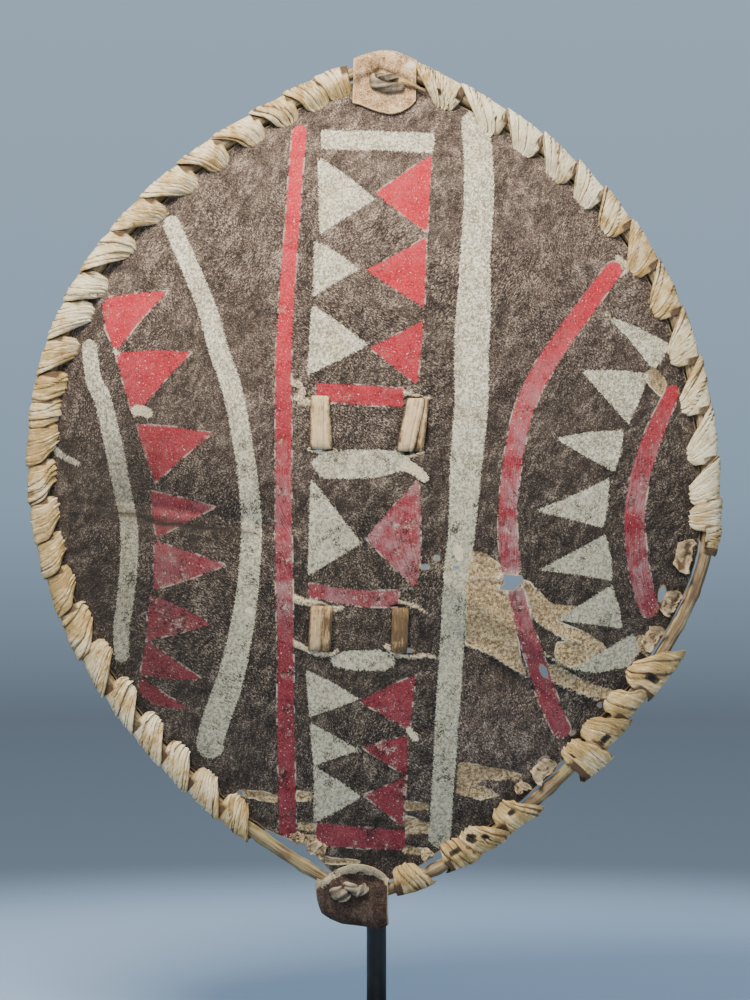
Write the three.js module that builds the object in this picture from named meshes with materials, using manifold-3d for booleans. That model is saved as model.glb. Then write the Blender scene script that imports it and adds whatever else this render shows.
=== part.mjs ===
// Hide shield on a steel display rod. Millimetres, +Z up, the painted face looks along -Y.
// The origin is the middle of the underside of the stand's foot.
import * as THREE from 'three';
import { mergeVertices } from 'three/addons/utils/BufferGeometryUtils.js';
import Module from 'manifold-3d';

const wasm = await Module();
wasm.setup();

// ---------------------------------------------------------------- driving dimensions
const CLEARANCE = 0.4; // air left between neighbouring pieces

const SHIELD = {
  centre: new THREE.Vector3(-7, -25, 566), // middle of the hoop, above the foot
  lean: 1.54, // degrees, top towards +X
  sweep: 26, // how far the two tips stand behind the middle of the hoop
  dome: 50, // how far the hide bulges in front of the hoop
};

// The hoop's centreline is four cubic curves: tip to widest point on each side, above and below.
const HOOP = {
  half: 421,
  radius: 6.7,
  left: { reach: 330, widest: 18, top: [24.2, 215, 190], bottom: [26.4, 177, 212] },
  right: { reach: 340, widest: -41, top: [19.2, 213, 263], bottom: [12.7, 163, 115] },
};

const HIDE = {
  thickness: 3,
  inset: 8.3, // from the hoop's centreline in to the hide's edge
  rows: 36,
  columns: 12,
};

// Places along the rim are measured on the lashing's outer edge, from the top tip down each side.
const LASH = { thickness: 1.4, outer: 9.8, slit: 18, slitWidth: 21, gap: 1, rimOffset: 12 };
const LASH_RUNS = {
  lashing_right: {
    side: 'right',
    edges: [46, 92, 143, 187, 232, 270, 312, 360, 413, 466, 517, 568, 611, 638, 662],
    torn: 'start',
    shortEnd: 0.4,
  },
  lashing_left: {
    side: 'left',
    edges: [44, 66, 104, 143, 188, 233, 278, 323, 366, 406, 446, 480, 508, 534, 572, 612,
      651, 687, 728, 775, 819, 866, 908, 946, 987, 1024],
  },
  lashing_lower_right: {
    side: 'right', edges: [769, 822, 856, 894, 924], torn: 'end', flare: [7, 0, 3, 10],
  },
  lashing_bottom_right: { side: 'right', edges: [980, 1021, 1062, 1088], torn: 'end' },
  lashing_bottom: { side: 'right', edges: [1112, 1146], torn: 'end' },
};

// Torn ends left in their slits: [side, from, to, outer reach, inner reach], reaches in from the hoop.
const REMNANTS = [
  ['right', 648, 690, 12, 29],
  ['right', 710, 740, 9, 25],
  ['right', 752, 782, 9, 24],
  ['right', 932, 962, 9, 26],
  ['right', 968, 984, 13, 25],
  ['right', 1093, 1107, 12, 23],
  ['left', 1066, 1082, 16, 26],
  ['left', 1088, 1108, 14, 30],
];

const STRAP = { width: 18, thickness: 2.6, cord: 7 };
const GRIPS = {
  grip_strap_upper: { left: -50, right: 40, top: 79, bottom: 29 },
  grip_strap_lower: { left: -46, right: 34, top: -128, bottom: -170 },
};

const STAVE = {
  half: 407, // half its length
  topAt: 7, // sideways place of its top end, and of its bottom end
  bottomAt: -10,
  width: 16,
  depth: 11,
  endScale: 0.8,
  gripHigh: 18, // the stretch that bows away from the hide
  gripLow: -117,
  bow: 42,
  ramp: 34, // length of each end of that bow
};

const PATCHES = {
  top_patch: {
    end: 1, from: -27, to: 36, fold: 9.8, rim: [[-27, 376], [12, 364], [36, 382]],
  },
  bottom_patch: {
    end: -1, from: -40, to: 31, fold: 29, rim: [[-40, 398], [-4, 386], [31, 402]],
  },
};
const PATCH_THICKNESS = 2.6;
const TIES = {
  top_tie: { end: 1, at: 396, centre: 7, halfSpan: 14.5, radius: 4, tail: [43, 387] },
  bottom_tie: { end: -1, at: 396, centre: -10, halfSpan: 14.5, radius: 4.4 },
};

const STAND = {
  footWidth: 260,
  footDepth: 240,
  footThickness: 12,
  rodRadius: 10,
  rodY: 35,
  socketDepth: 8,
  prongRadius: 4,
  prongSpread: 18, // each prong stands this far to the side of the stave's middle
};

// ---------------------------------------------------------------- materials
const finish = (color, roughness, metalness = 0) =>
  new THREE.MeshStandardMaterial({ color, roughness, metalness, side: THREE.DoubleSide });
const MATERIALS = {
  hide: () => finish(0x6f6058, 0.9),
  hoop: () => finish(0x5a4432, 0.8),
  rawhide: () => finish(0xcdbf9f, 0.6),
  tan: () => finish(0xa98a62, 0.75),
  suede: () => finish(0x9a7c66, 0.9),
  dark: () => finish(0x3b302a, 0.9),
  stave: () => finish(0x6b4c33, 0.7),
  steel: () => finish(0x17171a, 0.4, 0.6),
};

// ---------------------------------------------------------------- small helpers
const lerp = THREE.MathUtils.lerp;
const clamp = THREE.MathUtils.clamp;
const smooth = (x, low, high) => THREE.MathUtils.smoothstep(x, low, high);
const bump = (x, centre, halfWidth) => Math.max(0, 1 - ((x - centre) / halfWidth) ** 2) ** 2;

// Value at x on a polyline of [x, value] pairs in rising x.
function along(pairs, x) {
  if (x <= pairs[0][0]) return pairs[0][1];
  for (let i = 1; i < pairs.length; i += 1) {
    if (x > pairs[i][0]) continue;
    const share = (x - pairs[i - 1][0]) / (pairs[i][0] - pairs[i - 1][0]);
    return lerp(pairs[i - 1][1], pairs[i][1], share);
  }
  return pairs[pairs.length - 1][1];
}

function signedVolume(positions, index) {
  let volume = 0;
  const corner = [new THREE.Vector3(), new THREE.Vector3(), new THREE.Vector3()];
  for (let i = 0; i < index.length; i += 3) {
    corner.forEach((c, k) => c.fromArray(positions, index[i + k] * 3));
    volume += corner[0].dot(corner[1].clone().cross(corner[2])) / 6;
  }
  return volume;
}

// Closed solid from rings of equal length; the ends are capped unless the rings close on themselves.
function solidFromRings(rings, closed = false) {
  const positions = rings.flat().flatMap((p) => [p.x, p.y, p.z]);
  const size = rings[0].length;
  const index = [];
  const last = closed ? rings.length : rings.length - 1;
  for (let r = 0; r < last; r += 1) {
    const here = r * size;
    const next = ((r + 1) % rings.length) * size;
    for (let k = 0; k < size; k += 1) {
      const k2 = (k + 1) % size;
      index.push(here + k, here + k2, next + k2, here + k, next + k2, next + k);
    }
  }
  if (!closed) {
    const end = (rings.length - 1) * size;
    for (let k = 1; k < size - 1; k += 1) {
      index.push(0, k + 1, k);
      index.push(end, end + k, end + k + 1);
    }
  }
  if (signedVolume(positions, index) < 0) index.reverse();
  const geometry = new THREE.BufferGeometry();
  geometry.setAttribute('position', new THREE.Float32BufferAttribute(positions, 3));
  geometry.setIndex(index);
  return geometry;
}

// Closed solid between two grids of points that share their layout.
function solidFromGrids(front, back) {
  const rows = front.length;
  const columns = front[0].length;
  const positions = [...front.flat(), ...back.flat()].flatMap((p) => [p.x, p.y, p.z]);
  const offset = rows * columns;
  const index = [];
  const quad = (a, b, c, d) => index.push(a, b, c, a, c, d);
  for (let r = 0; r < rows - 1; r += 1) {
    for (let c = 0; c < columns - 1; c += 1) {
      const a = r * columns + c;
      quad(a, a + 1, a + columns + 1, a + columns);
      quad(offset + a, offset + a + columns, offset + a + columns + 1, offset + a + 1);
    }
  }
  const rim = [];
  for (let c = 0; c < columns - 1; c += 1) rim.push(c);
  for (let r = 0; r < rows - 1; r += 1) rim.push(r * columns + columns - 1);
  for (let c = columns - 1; c > 0; c -= 1) rim.push((rows - 1) * columns + c);
  for (let r = rows - 1; r > 0; r -= 1) rim.push(r * columns);
  rim.forEach((a, i) => {
    const b = rim[(i + 1) % rim.length];
    quad(b, a, offset + a, offset + b);
  });
  if (signedVolume(positions, index) < 0) index.reverse();
  const geometry = new THREE.BufferGeometry();
  geometry.setAttribute('position', new THREE.Float32BufferAttribute(positions, 3));
  geometry.setIndex(index);
  return geometry;
}

function toManifold(source) {
  const bare = source.clone();
  bare.deleteAttribute('normal');
  bare.deleteAttribute('uv');
  const merged = mergeVertices(bare, 1e-4);
  return new wasm.Manifold(new wasm.Mesh({
    numProp: 3,
    vertProperties: new Float32Array(merged.attributes.position.array),
    triVerts: new Uint32Array(merged.index.array),
  }));
}

function fromManifold(body) {
  const mesh = body.getMesh();
  const geometry = new THREE.BufferGeometry();
  geometry.setAttribute('position', new THREE.Float32BufferAttribute(mesh.vertProperties, 3));
  geometry.setIndex(Array.from(mesh.triVerts));
  return geometry;
}

function cut(geometry, cutters) {
  let body = toManifold(geometry);
  for (const cutter of cutters) body = body.subtract(toManifold(cutter));
  return fromManifold(body);
}

function join(...geometries) {
  return fromManifold(geometries.map(toManifold).reduce((sum, body) => sum.add(body)));
}

// A four-sided strip through stations {p, across, normal, half, thick}.
function strip(stations, closed = false, grow = 0) {
  const rings = stations.map(({ p, across, normal, half, thick }) => {
    const a = across.clone().multiplyScalar(half + grow);
    const n = normal.clone().multiplyScalar(thick / 2 + grow);
    return [
      p.clone().sub(a).sub(n), p.clone().add(a).sub(n),
      p.clone().add(a).add(n), p.clone().sub(a).add(n),
    ];
  });
  return solidFromRings(rings, closed);
}

// A round cord through points, with its section kept square to the path.
function cord(points, radius, sides, closed = false) {
  const count = points.length;
  const rings = points.map((p, i) => {
    const before = points[closed ? (i + count - 1) % count : Math.max(0, i - 1)];
    const after = points[closed ? (i + 1) % count : Math.min(count - 1, i + 1)];
    const tangent = after.clone().sub(before).normalize();
    const size = typeof radius === 'function' ? radius(i / (count - 1)) : radius;
    return { p, tangent, size };
  });
  let side = new THREE.Vector3(0, 1, 0);
  if (Math.abs(rings[0].tangent.dot(side)) > 0.9) side = new THREE.Vector3(0, 0, 1);
  return solidFromRings(rings.map(({ p, tangent, size }) => {
    const u = side.clone().addScaledVector(tangent, -side.dot(tangent)).normalize();
    side = u;
    const v = tangent.clone().cross(u);
    return Array.from({ length: sides }, (_, k) => {
      const angle = (2 * Math.PI * (k + 0.5)) / sides;
      const sideways = p.clone().addScaledVector(u, size * Math.cos(angle));
      return sideways.addScaledVector(v, size * Math.sin(angle));
    });
  }), closed);
}

// ---------------------------------------------------------------- the rim
// Shield space: x to the right, y backwards, z up, from the middle of the hoop.
function hoopSide(sign, { reach, widest, top, bottom }) {
  const tipPoint = (end, [angle, handle]) => {
    const a = THREE.MathUtils.degToRad(angle);
    return new THREE.Vector2(sign * handle * Math.cos(a), end * (HOOP.half - handle * Math.sin(a)));
  };
  const wide = new THREE.Vector2(sign * reach, widest);
  const upper = new THREE.CubicBezierCurve(
    new THREE.Vector2(0, HOOP.half), tipPoint(1, top), new THREE.Vector2(sign * reach, widest + top[2]), wide,
  );
  const lower = new THREE.CubicBezierCurve(
    wide, new THREE.Vector2(sign * reach, widest - bottom[2]), tipPoint(-1, bottom),
    new THREE.Vector2(0, -HOOP.half),
  );
  const points = [...upper.getPoints(160), ...lower.getPoints(160).slice(1)];
  const stations = points.map((p, i) => {
    const [before, after] = [points[Math.max(i - 1, 0)], points[Math.min(i + 1, points.length - 1)]];
    const tangent = after.clone().sub(before).normalize();
    return { p, out: new THREE.Vector2(-sign * tangent.y, sign * tangent.x) };
  });
  let length = 0;
  stations.forEach((station, i) => {
    station.edge = station.p.clone().addScaledVector(station.out, LASH.rimOffset);
    if (i > 0) length += station.edge.distanceTo(stations[i - 1].edge);
    station.s = length;
  });
  return stations;
}
const RIM = { left: hoopSide(-1, HOOP.left), right: hoopSide(1, HOOP.right) };

const sweepAt = (z) => SHIELD.sweep * (z / HOOP.half) ** 2;

function rimAt(side, s) {
  const stations = RIM[side];
  const goal = clamp(s, 0, stations[stations.length - 1].s);
  let i = 1;
  while (stations[i].s < goal) i += 1;
  const [a, b] = [stations[i - 1], stations[i]];
  const share = (goal - a.s) / (b.s - a.s);
  const p = a.p.clone().lerp(b.p, share);
  return { p, out: a.out.clone().lerp(b.out, share).normalize() };
}

// A point q outwards from the hoop's centreline and f in front of it.
function rimPoint(side, s, q, f) {
  const { p, out } = rimAt(side, s);
  return new THREE.Vector3(p.x + out.x * q, sweepAt(p.y) - f, p.y + out.y * q);
}

// ---------------------------------------------------------------- the hide's surface
function edgeRadius(angle) {
  let best = HOOP.half;
  let nearest = Infinity;
  for (const side of ['left', 'right']) {
    for (const { p } of RIM[side]) {
      const off = Math.abs(Math.atan2(Math.sin(p.angle() - angle), Math.cos(p.angle() - angle)));
      if (off < nearest) {
        nearest = off;
        best = p.length();
      }
    }
  }
  return best - HIDE.inset;
}
const EDGE_STEPS = 720;
const EDGE_TABLE = Array.from({ length: EDGE_STEPS }, (_, i) => edgeRadius((i * 2 * Math.PI) / EDGE_STEPS));
function edgeReach(x, z) {
  const turn = ((Math.atan2(z, x) / (2 * Math.PI) + 1) % 1) * EDGE_STEPS;
  const i = Math.floor(turn);
  return lerp(EDGE_TABLE[i % EDGE_STEPS], EDGE_TABLE[(i + 1) % EDGE_STEPS], turn - i);
}

// Height added by a straight fold from a to b: positive stands forward, negative is a valley.
function fold(x, z, a, b, height, halfWidth) {
  const [dx, dz] = [b[0] - a[0], b[1] - a[1]];
  const length = Math.hypot(dx, dz);
  const along01 = ((x - a[0]) * dx + (z - a[1]) * dz) / length ** 2;
  const off = Math.abs((x - a[0]) * dz - (z - a[1]) * dx) / length;
  const ends = smooth(along01, -0.12, 0.12) * (1 - smooth(along01, 0.88, 1.12));
  return height * ends * Math.exp(-off / halfWidth);
}

// Depth (y) of the hide's front face.
function hideFront(x, z) {
  const share = Math.hypot(x, z) / edgeReach(x, z);
  const dome = SHIELD.dome * (1 - Math.min(share, 1.08) ** 2.2);
  const calm = 1 - smooth(share, 0.74, 0.9);
  const folds = fold(x, z, [-330, -20], [-80, -50], -11, 26)
    + fold(x, z, [60, -90], [235, -200], 7, 16)
    + fold(x, z, [90, -150], [215, -240], -6, 18)
    + fold(x, z, [165, 175], [255, 225], 4, 16);
  return sweepAt(z) - dome - folds * calm;
}

// Where the hide has shrunk or torn back from the hoop.
function hideInset(side, s) {
  const worn = side === 'left' ? 9 * bump(s, 1085, 45) : 5 * bump(s, 1078, 60) + 3 * bump(s, 880, 60);
  return HIDE.inset + worn;
}

function hideSheet() {
  const total = { left: RIM.left.at(-1).s, right: RIM.right.at(-1).s };
  const front = [];
  const back = [];
  for (let r = 0; r <= HIDE.rows; r += 1) {
    const share = lerp(0.004, 0.996, r / HIDE.rows);
    const ends = ['left', 'right'].map((side) => {
      const s = share * total[side];
      return rimPoint(side, s, -hideInset(side, s), 0);
    });
    const line = [];
    for (let c = 0; c <= HIDE.columns; c += 1) {
      const even = (2 * c) / HIDE.columns - 1;
      const crowded = (even + Math.sin((even * Math.PI) / 2)) / 2; // closer columns by the edges
      const p = ends[0].clone().lerp(ends[1], (1 + crowded) / 2);
      p.y = hideFront(p.x, p.z);
      line.push(p);
    }
    front.push(line);
    back.push(line.map((p) => new THREE.Vector3(p.x, p.y + HIDE.thickness, p.z)));
  }
  return solidFromGrids(front, back);
}

// Wear-holes: [middle x, middle z, half width, half height, turn in degrees]
const HOLES = [
  [139, -104, 10, 6.5, 10],
  [170, -195, 3, 7, 20],
  [291, -116, 3.6, 8, 0],
  [165, -287, 3, 6, 60],
  [64, -80, 3.4, 3, 0],
];
function hole([x, z, halfWidth, halfHeight, turn]) {
  const shape = new THREE.CylinderGeometry(1, 1, 30, 8);
  shape.scale(halfWidth, 1, halfHeight);
  shape.rotateY(THREE.MathUtils.degToRad(turn));
  shape.translate(x, hideFront(x, z) + HIDE.thickness / 2, z);
  return shape;
}

// How far the hide's front stands before the hoop's centreline, q outwards from it.
function hideHeight(side, s, q) {
  const { p, out } = rimAt(side, s);
  return sweepAt(p.y) - hideFront(p.x + out.x * q, p.y + out.y * q);
}

// ---------------------------------------------------------------- lashing
// One turn seen along the rim: how far in or out, how far forward, and how far the strip has fanned out.
function lashPath(side, s, slit, outer) {
  const hideAt = (q, pick = Math.max) => pick(...[-12, 0, 12].map((off) => hideHeight(side, s + off, q)));
  const lift = LASH.thickness / 2 + CLEARANCE + 1.2;
  return [
    { q: -slit, f: hideAt(-slit) - HIDE.thickness / 2, n: [-1, 0.1] },
    { q: -slit + 3.5, f: Math.max(hideAt(-slit + 3.5) + lift, 5), n: [-0.5, 0.85] },
    { q: -3, f: 9.5, n: [0, 1] },
    { q: outer, f: 5, n: [0.8, 0.5] },
    { q: outer, f: -5, n: [0.8, -0.5] },
    { q: -3, f: -9.5, n: [0, -1] },
    {
      q: -slit + 4,
      f: Math.min(hideAt(-slit + 4, Math.min) - HIDE.thickness - lift - 0.5, -2),
      n: [-0.5, -0.85],
    },
  ];
}
const FAN = [0, 0.05, 0.7, 1, 1, 0.66, 0.06]; // share of the way from slit width to full width
const OUTERMOST = 3; // the point where the strip turns over the edge

function lashStations({ side, edges, torn = '', shortEnd = 1, flare = [] }) {
  const turns = edges.slice(1).map((high, i) => {
    const low = edges[i];
    const inner = side === 'left' ? low + LASH.slitWidth / 2 + 1.5 : high - LASH.slitWidth / 2 - 1.5;
    return { low, high, middle: (low + high) / 2, inner, outer: LASH.outer + (flare[i] ?? 0) };
  });
  if (side === 'right') turns.reverse();
  const stations = [];
  const place = (s, step, spread, slitHalf, turn) => {
    const halfFull = (turn.high - turn.low) / 2 - LASH.gap / 2;
    const half = lerp(Math.min(slitHalf, halfFull), halfFull, spread);
    const [nq, nf] = step.n;
    stations.push({ side, s, q: step.q, f: step.f, nq, nf, half });
  };
  turns.forEach((turn, i) => {
    const next = turns[i + 1];
    const pitch = turn.high - turn.low;
    const step = (side === 'left' ? pitch : -pitch) * shortEnd;
    const after = next ? next.inner : turn.inner + step;
    const slitHalf = LASH.slitWidth / 2;
    const path = lashPath(side, turn.inner, LASH.slit, turn.outer);
    const first = torn === 'start' && i === 0 ? 2 : 0;
    const last = torn === 'end' && !next ? OUTERMOST + 2 : path.length;
    path.slice(0, last).forEach((point, k) => {
      if (k < first) return;
      const slitSide = k <= OUTERMOST ? turn.inner : after;
      const centre = lerp(slitSide, turn.middle, FAN[k]);
      place(centre, point, FAN[k], slitHalf, turn);
    });
    if (!next && torn !== 'end') place(after, path[0], 0, slitHalf, turn);
  });
  return stations;
}

function lashRings(stations, grow = 0) {
  return stations.map(({ side, s, q, f, nq, nf, half }) => {
    const size = Math.hypot(nq, nf);
    const [dq, df] = [nq / size, nf / size].map((v) => v * (LASH.thickness / 2 + grow));
    const w = half + grow;
    return [
      rimPoint(side, s - w, q - dq, f - df), rimPoint(side, s + w, q - dq, f - df),
      rimPoint(side, s + w, q + dq, f + df), rimPoint(side, s - w, q + dq, f + df),
    ];
  });
}

// A straight-walled slit through the hide, from one reach to another inside the hoop.
function slitCutter(side, from, to, inner, outer) {
  const rings = [-14, 14].map((f) => [
    rimPoint(side, from, -inner, f + 4), rimPoint(side, to, -inner, f + 4),
    rimPoint(side, to, -outer, f + 4), rimPoint(side, from, -outer, f + 4),
  ]);
  return solidFromRings(rings);
}

function lashSlits(stations) {
  return stations.filter(({ q }) => Math.abs(q + LASH.slit) < 0.01).map(({ side, s, half }) => {
    const reach = half + CLEARANCE + 1.5;
    return slitCutter(side, s - reach, s + reach, LASH.slit + 2.4, LASH.slit - 5);
  });
}

// ---------------------------------------------------------------- torn ends in their slits
function remnantStations([side, from, to, outer, inner]) {
  const s = (from + to) / 2;
  const hideAt = (q, pick = Math.max) => pick(...[from, s, to].map((at) => hideHeight(side, at, q)));
  const lift = LASH.thickness / 2 + CLEARANCE + 0.8;
  const half = (to - from) / 2;
  const back = HIDE.thickness + lift + 0.5;
  const points = [
    [-outer, hideAt(-outer) + lift + 2.5, half, 0, 1],
    [-(outer + inner) / 2, hideAt(-(outer + inner) / 2) + lift + 1.2, half * 0.92, 0, 1],
    [-inner + 2.5, hideAt(-inner + 2.5) + lift, half * 0.7, -0.2, 1],
    [-inner, hideAt(-inner) - HIDE.thickness / 2, half * 0.6, -1, 0.1],
    [-inner + 3, hideAt(-inner + 3, Math.min) - back, half * 0.6, -0.2, -1],
    [-inner + 12, hideAt(-inner + 12, Math.min) - back - 0.5, half * 0.6, 0, -1],
  ];
  return points.map(([q, f, halfWidth, nq, nf]) => ({ side, s, q, f, nq, nf, half: halfWidth }));
}

// ---------------------------------------------------------------- stave and grip straps
const staveX = (z) => lerp(STAVE.bottomAt, STAVE.topAt, (z + HOOP.half) / (2 * HOOP.half));
const gripRise = (z) => smooth(z, STAVE.gripLow, STAVE.gripLow + STAVE.ramp);
const gripFall = (z) => 1 - smooth(z, STAVE.gripHigh - STAVE.ramp, STAVE.gripHigh);
const gripBow = (z) => STAVE.bow * gripRise(z) * gripFall(z);

// The stave lies on the hide's back: this is its front face.
function staveFront(z) {
  const x = staveX(z);
  const back = Math.max(hideFront(x - 8, z), hideFront(x, z), hideFront(x + 8, z));
  return back + HIDE.thickness + CLEARANCE + 0.3 + gripBow(z);
}
const staveScale = (z) => lerp(1, STAVE.endScale, smooth(Math.abs(z), 180, STAVE.half));

function handleStave() {
  const ramp = (from, to, steps) => Array.from({ length: steps }, (_, i) => lerp(from, to, i / steps));
  const { half: end, gripHigh, gripLow, ramp: bend } = STAVE;
  const levels = [
    ...ramp(end, gripHigh, 9), ...ramp(gripHigh, gripHigh - bend, 4),
    ...ramp(gripHigh - bend, gripLow + bend, 2), ...ramp(gripLow + bend, gripLow, 4),
    ...ramp(gripLow, -end, 8), -end,
  ];
  const rings = [];
  for (const z of levels) {
    const scale = staveScale(z);
    const [half, depth, corner] = [(STAVE.width * scale) / 2, STAVE.depth * scale, 3];
    const [x, y] = [staveX(z), staveFront(z)];
    rings.push([
      [-half, corner], [-half + corner, 0], [half - corner, 0], [half, corner],
      [half, depth - corner], [half - corner, depth], [-half + corner, depth], [-half, depth - corner],
    ].map(([dx, dy]) => new THREE.Vector3(x + dx, y + dy, z)));
  }
  return solidFromRings(rings);
}

// A closed loop: down the left front, behind the stave, up the right front, behind the stave again.
function gripStrap({ left, right, top, bottom }) {
  const halfCord = STRAP.cord / 2;
  const backY = (x, z) => hideFront(x, z) + HIDE.thickness + CLEARANCE + halfCord + 0.5;
  const [topRun, bottomRun] = [top - 1.5, bottom + 1.5];
  const stitches = [left, right].map((x) => {
    const frontY = (z, lift) => hideFront(x, z) - STRAP.thickness / 2 - CLEARANCE - lift;
    const path = [
      [topRun, backY(x, topRun) + 1, 0.2],
      [top + 0.4, hideFront(x, top) + HIDE.thickness / 2, 0.1],
      [top - 4, frontY(top - 4, 0.9), 0.9],
      [lerp(top, bottom, 0.5), frontY(lerp(top, bottom, 0.5), 2.4), 1],
      [bottom + 4, frontY(bottom + 4, 0.9), 0.9],
      [bottom - 0.4, hideFront(x, bottom) + HIDE.thickness / 2, 0.1],
      [bottomRun, backY(x, bottomRun) + 1, 0.2],
    ];
    return strip(path.map(([z, y, facing], i) => ({
      p: new THREE.Vector3(x, y, z),
      across: new THREE.Vector3(1, 0, 0),
      normal: new THREE.Vector3(0, facing, Math.sign(i - 3) * Math.sqrt(1 - facing ** 2)),
      half: STRAP.width / 2 - (i === 0 || i === 6 ? 1 : 0),
      thick: STRAP.thickness,
    })));
  });
  const runsBehind = [topRun, bottomRun].map((z) => {
    const middle = staveX(z);
    const wide = (STAVE.width * staveScale(z)) / 2 + CLEARANCE + halfCord;
    const high = staveFront(z) + STAVE.depth * staveScale(z) + CLEARANCE + halfCord + 0.3;
    const path = [-1, 1].map((way) => {
      const end = way < 0 ? left : right;
      const half = lerp(end, middle, 0.5);
      const foot = middle + way * (wide + 1);
      return [
        [end + way * 6, backY(end, z) + 0.4], [half, backY(half, z)],
        [foot, lerp(backY(foot, z), high, 0.45)], [middle + way * wide * 0.6, high],
      ];
    });
    const points = [...path[0], ...path[1].reverse()];
    return cord(points.map(([x, y]) => new THREE.Vector3(x, y, z)), halfCord, 6);
  });
  return join(...stitches, ...runsBehind);
}

function gripSlits({ left, right, top, bottom }) {
  return [left, right].flatMap((x) => [top, bottom].map((z) => {
    const out = z === top ? 1 : -1;
    const slot = new THREE.BoxGeometry(STRAP.width + 1.8, 24, 7);
    slot.translate(x, hideFront(x, z) + 1, z - out * 0.6);
    return slot;
  }));
}

// ---------------------------------------------------------------- patches over the tips
// The hoop's centreline above or below the middle, and its slope, at x near a tip.
function tipHoop(end, x) {
  const stations = RIM[x < 0 ? 'left' : 'right'].filter(({ p }) => Math.sign(p.y) === end);
  const near = stations.reduce((a, b) => (Math.abs(b.p.x - x) < Math.abs(a.p.x - x) ? b : a));
  return { height: Math.abs(near.p.y), stretch: 1 / Math.abs(near.out.y) };
}

function patch({ end, from, to, fold: reach, rim }) {
  const half = PATCH_THICKNESS / 2;
  const columns = [from, from / 2, 0, to / 3, (2 * to) / 3, to];
  const clear = HOOP.radius + CLEARANCE + half + 0.3;
  const front = [];
  const back = [];
  for (const x of columns) {
    const across = (x - from) / (to - from);
    const { height: hoopZ, stretch } = tipHoop(end, x);
    const sag = reach > 15 ? lerp(0.86, 1.06, smooth(across, 0, 0.8)) : 1;
    const tipOut = reach * sag;
    const rimZ = along(rim, x);
    const start = Math.min(rimZ - hoopZ, -9);
    const hideF = (d) => sweepAt(hoopZ) - hideFront(x, end * (hoopZ + d)) + half + CLEARANCE + 0.5;
    const knee = Math.max(start + 2, -14);
    const wrap = (d) => (d > -8 && d < 9 ? d * stretch : d);
    const path = [
      [start, Math.max(hideF(start), start > -12 ? 7 : 0), 0],
      [knee, Math.max(hideF(knee), 5.5), -0.3],
      [-4, clear, -0.1],
      [4.5, clear - 0.4, 0.25],
      [Math.max(7.6, tipOut * 0.72), tipOut > 15 ? 5.5 : 4.6, 0.8],
      [tipOut, 0, 1],
      [Math.max(7.6, tipOut * 0.72), tipOut > 15 ? -5.5 : -4.6, 0.8],
      [4.5, -clear + 0.4, 0.25],
      [-3, -clear - 0.2, -0.1],
    ];
    const outer = [];
    const inner = [];
    path.forEach(([d, f, lean], i) => {
      const side = i < 5 ? 1 : i === 5 ? 0 : -1;
      const n = new THREE.Vector2(lean, side === 0 ? 0 : side * Math.sqrt(1 - lean * lean));
      if (side === 0) n.set(1, 0);
      const place = (grow) => new THREE.Vector3(
        x, sweepAt(hoopZ) - (f + n.y * grow), end * (hoopZ + wrap(d + n.x * grow)),
      );
      outer.push(place(half));
      inner.push(place(-half));
    });
    front.push(outer);
    back.push(inner);
  }
  return solidFromGrids(front, back);
}

// ---------------------------------------------------------------- ties at the tips
function tiePoints({ end, at, centre, halfSpan, radius }) {
  const z = end * at;
  const hideFace = hideFront(centre, z);
  const frontY = hideFace - CLEARANCE * 2 - PATCH_THICKNESS - 3.4 - radius;
  const backY = staveFront(z) + STAVE.depth * staveScale(z) + CLEARANCE + radius + 0.6;
  const middle = (frontY + backY) / 2;
  const deep = (backY - frontY) / 2;
  const points = [];
  const steps = 14;
  for (let i = 0; i < steps; i += 1) {
    const angle = (2 * Math.PI * i) / steps;
    const [c, s] = [Math.cos(angle), Math.sin(angle)];
    const squash = (v) => Math.sign(v) * Math.abs(v) ** 0.62;
    points.push(new THREE.Vector3(centre + halfSpan * squash(c), middle + deep * squash(s), z));
  }
  return points;
}

function tie(spec) {
  const ring = cord(tiePoints(spec), spec.radius, 7, true);
  if (!spec.tail) return ring;
  const z = spec.end * spec.at;
  const startX = spec.centre + spec.halfSpan;
  const y = hideFront(startX, z) - PATCH_THICKNESS - 4.2;
  const [endX, endZ] = spec.tail;
  const stations = [0, 0.5, 1].map((share) => ({
    p: new THREE.Vector3(lerp(startX, endX, share), lerp(y, y + 0.6, share), lerp(z, endZ, share)),
    across: new THREE.Vector3(0.3, 0, 1).normalize(),
    normal: new THREE.Vector3(0, 1, 0),
    half: lerp(4, 1, share),
    thick: 1.6,
  }));
  return join(ring, strip(stations));
}

// Two straight holes through tab and hide, where the tie goes through.
function tieHoles({ end, at, centre, halfSpan, radius }) {
  return [-1, 1].map((side) => {
    const size = radius + CLEARANCE + 1.6;
    const drill = new THREE.CylinderGeometry(size, size, 40, 7);
    const x = centre + side * (halfSpan - 0.6);
    drill.translate(x, hideFront(x, end * at), end * at);
    return drill;
  });
}

// ---------------------------------------------------------------- stand
const leanAngle = THREE.MathUtils.degToRad(SHIELD.lean);
const toWorld = (p) => p.clone().applyAxisAngle(new THREE.Vector3(0, 1, 0), leanAngle).add(SHIELD.centre);

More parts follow.
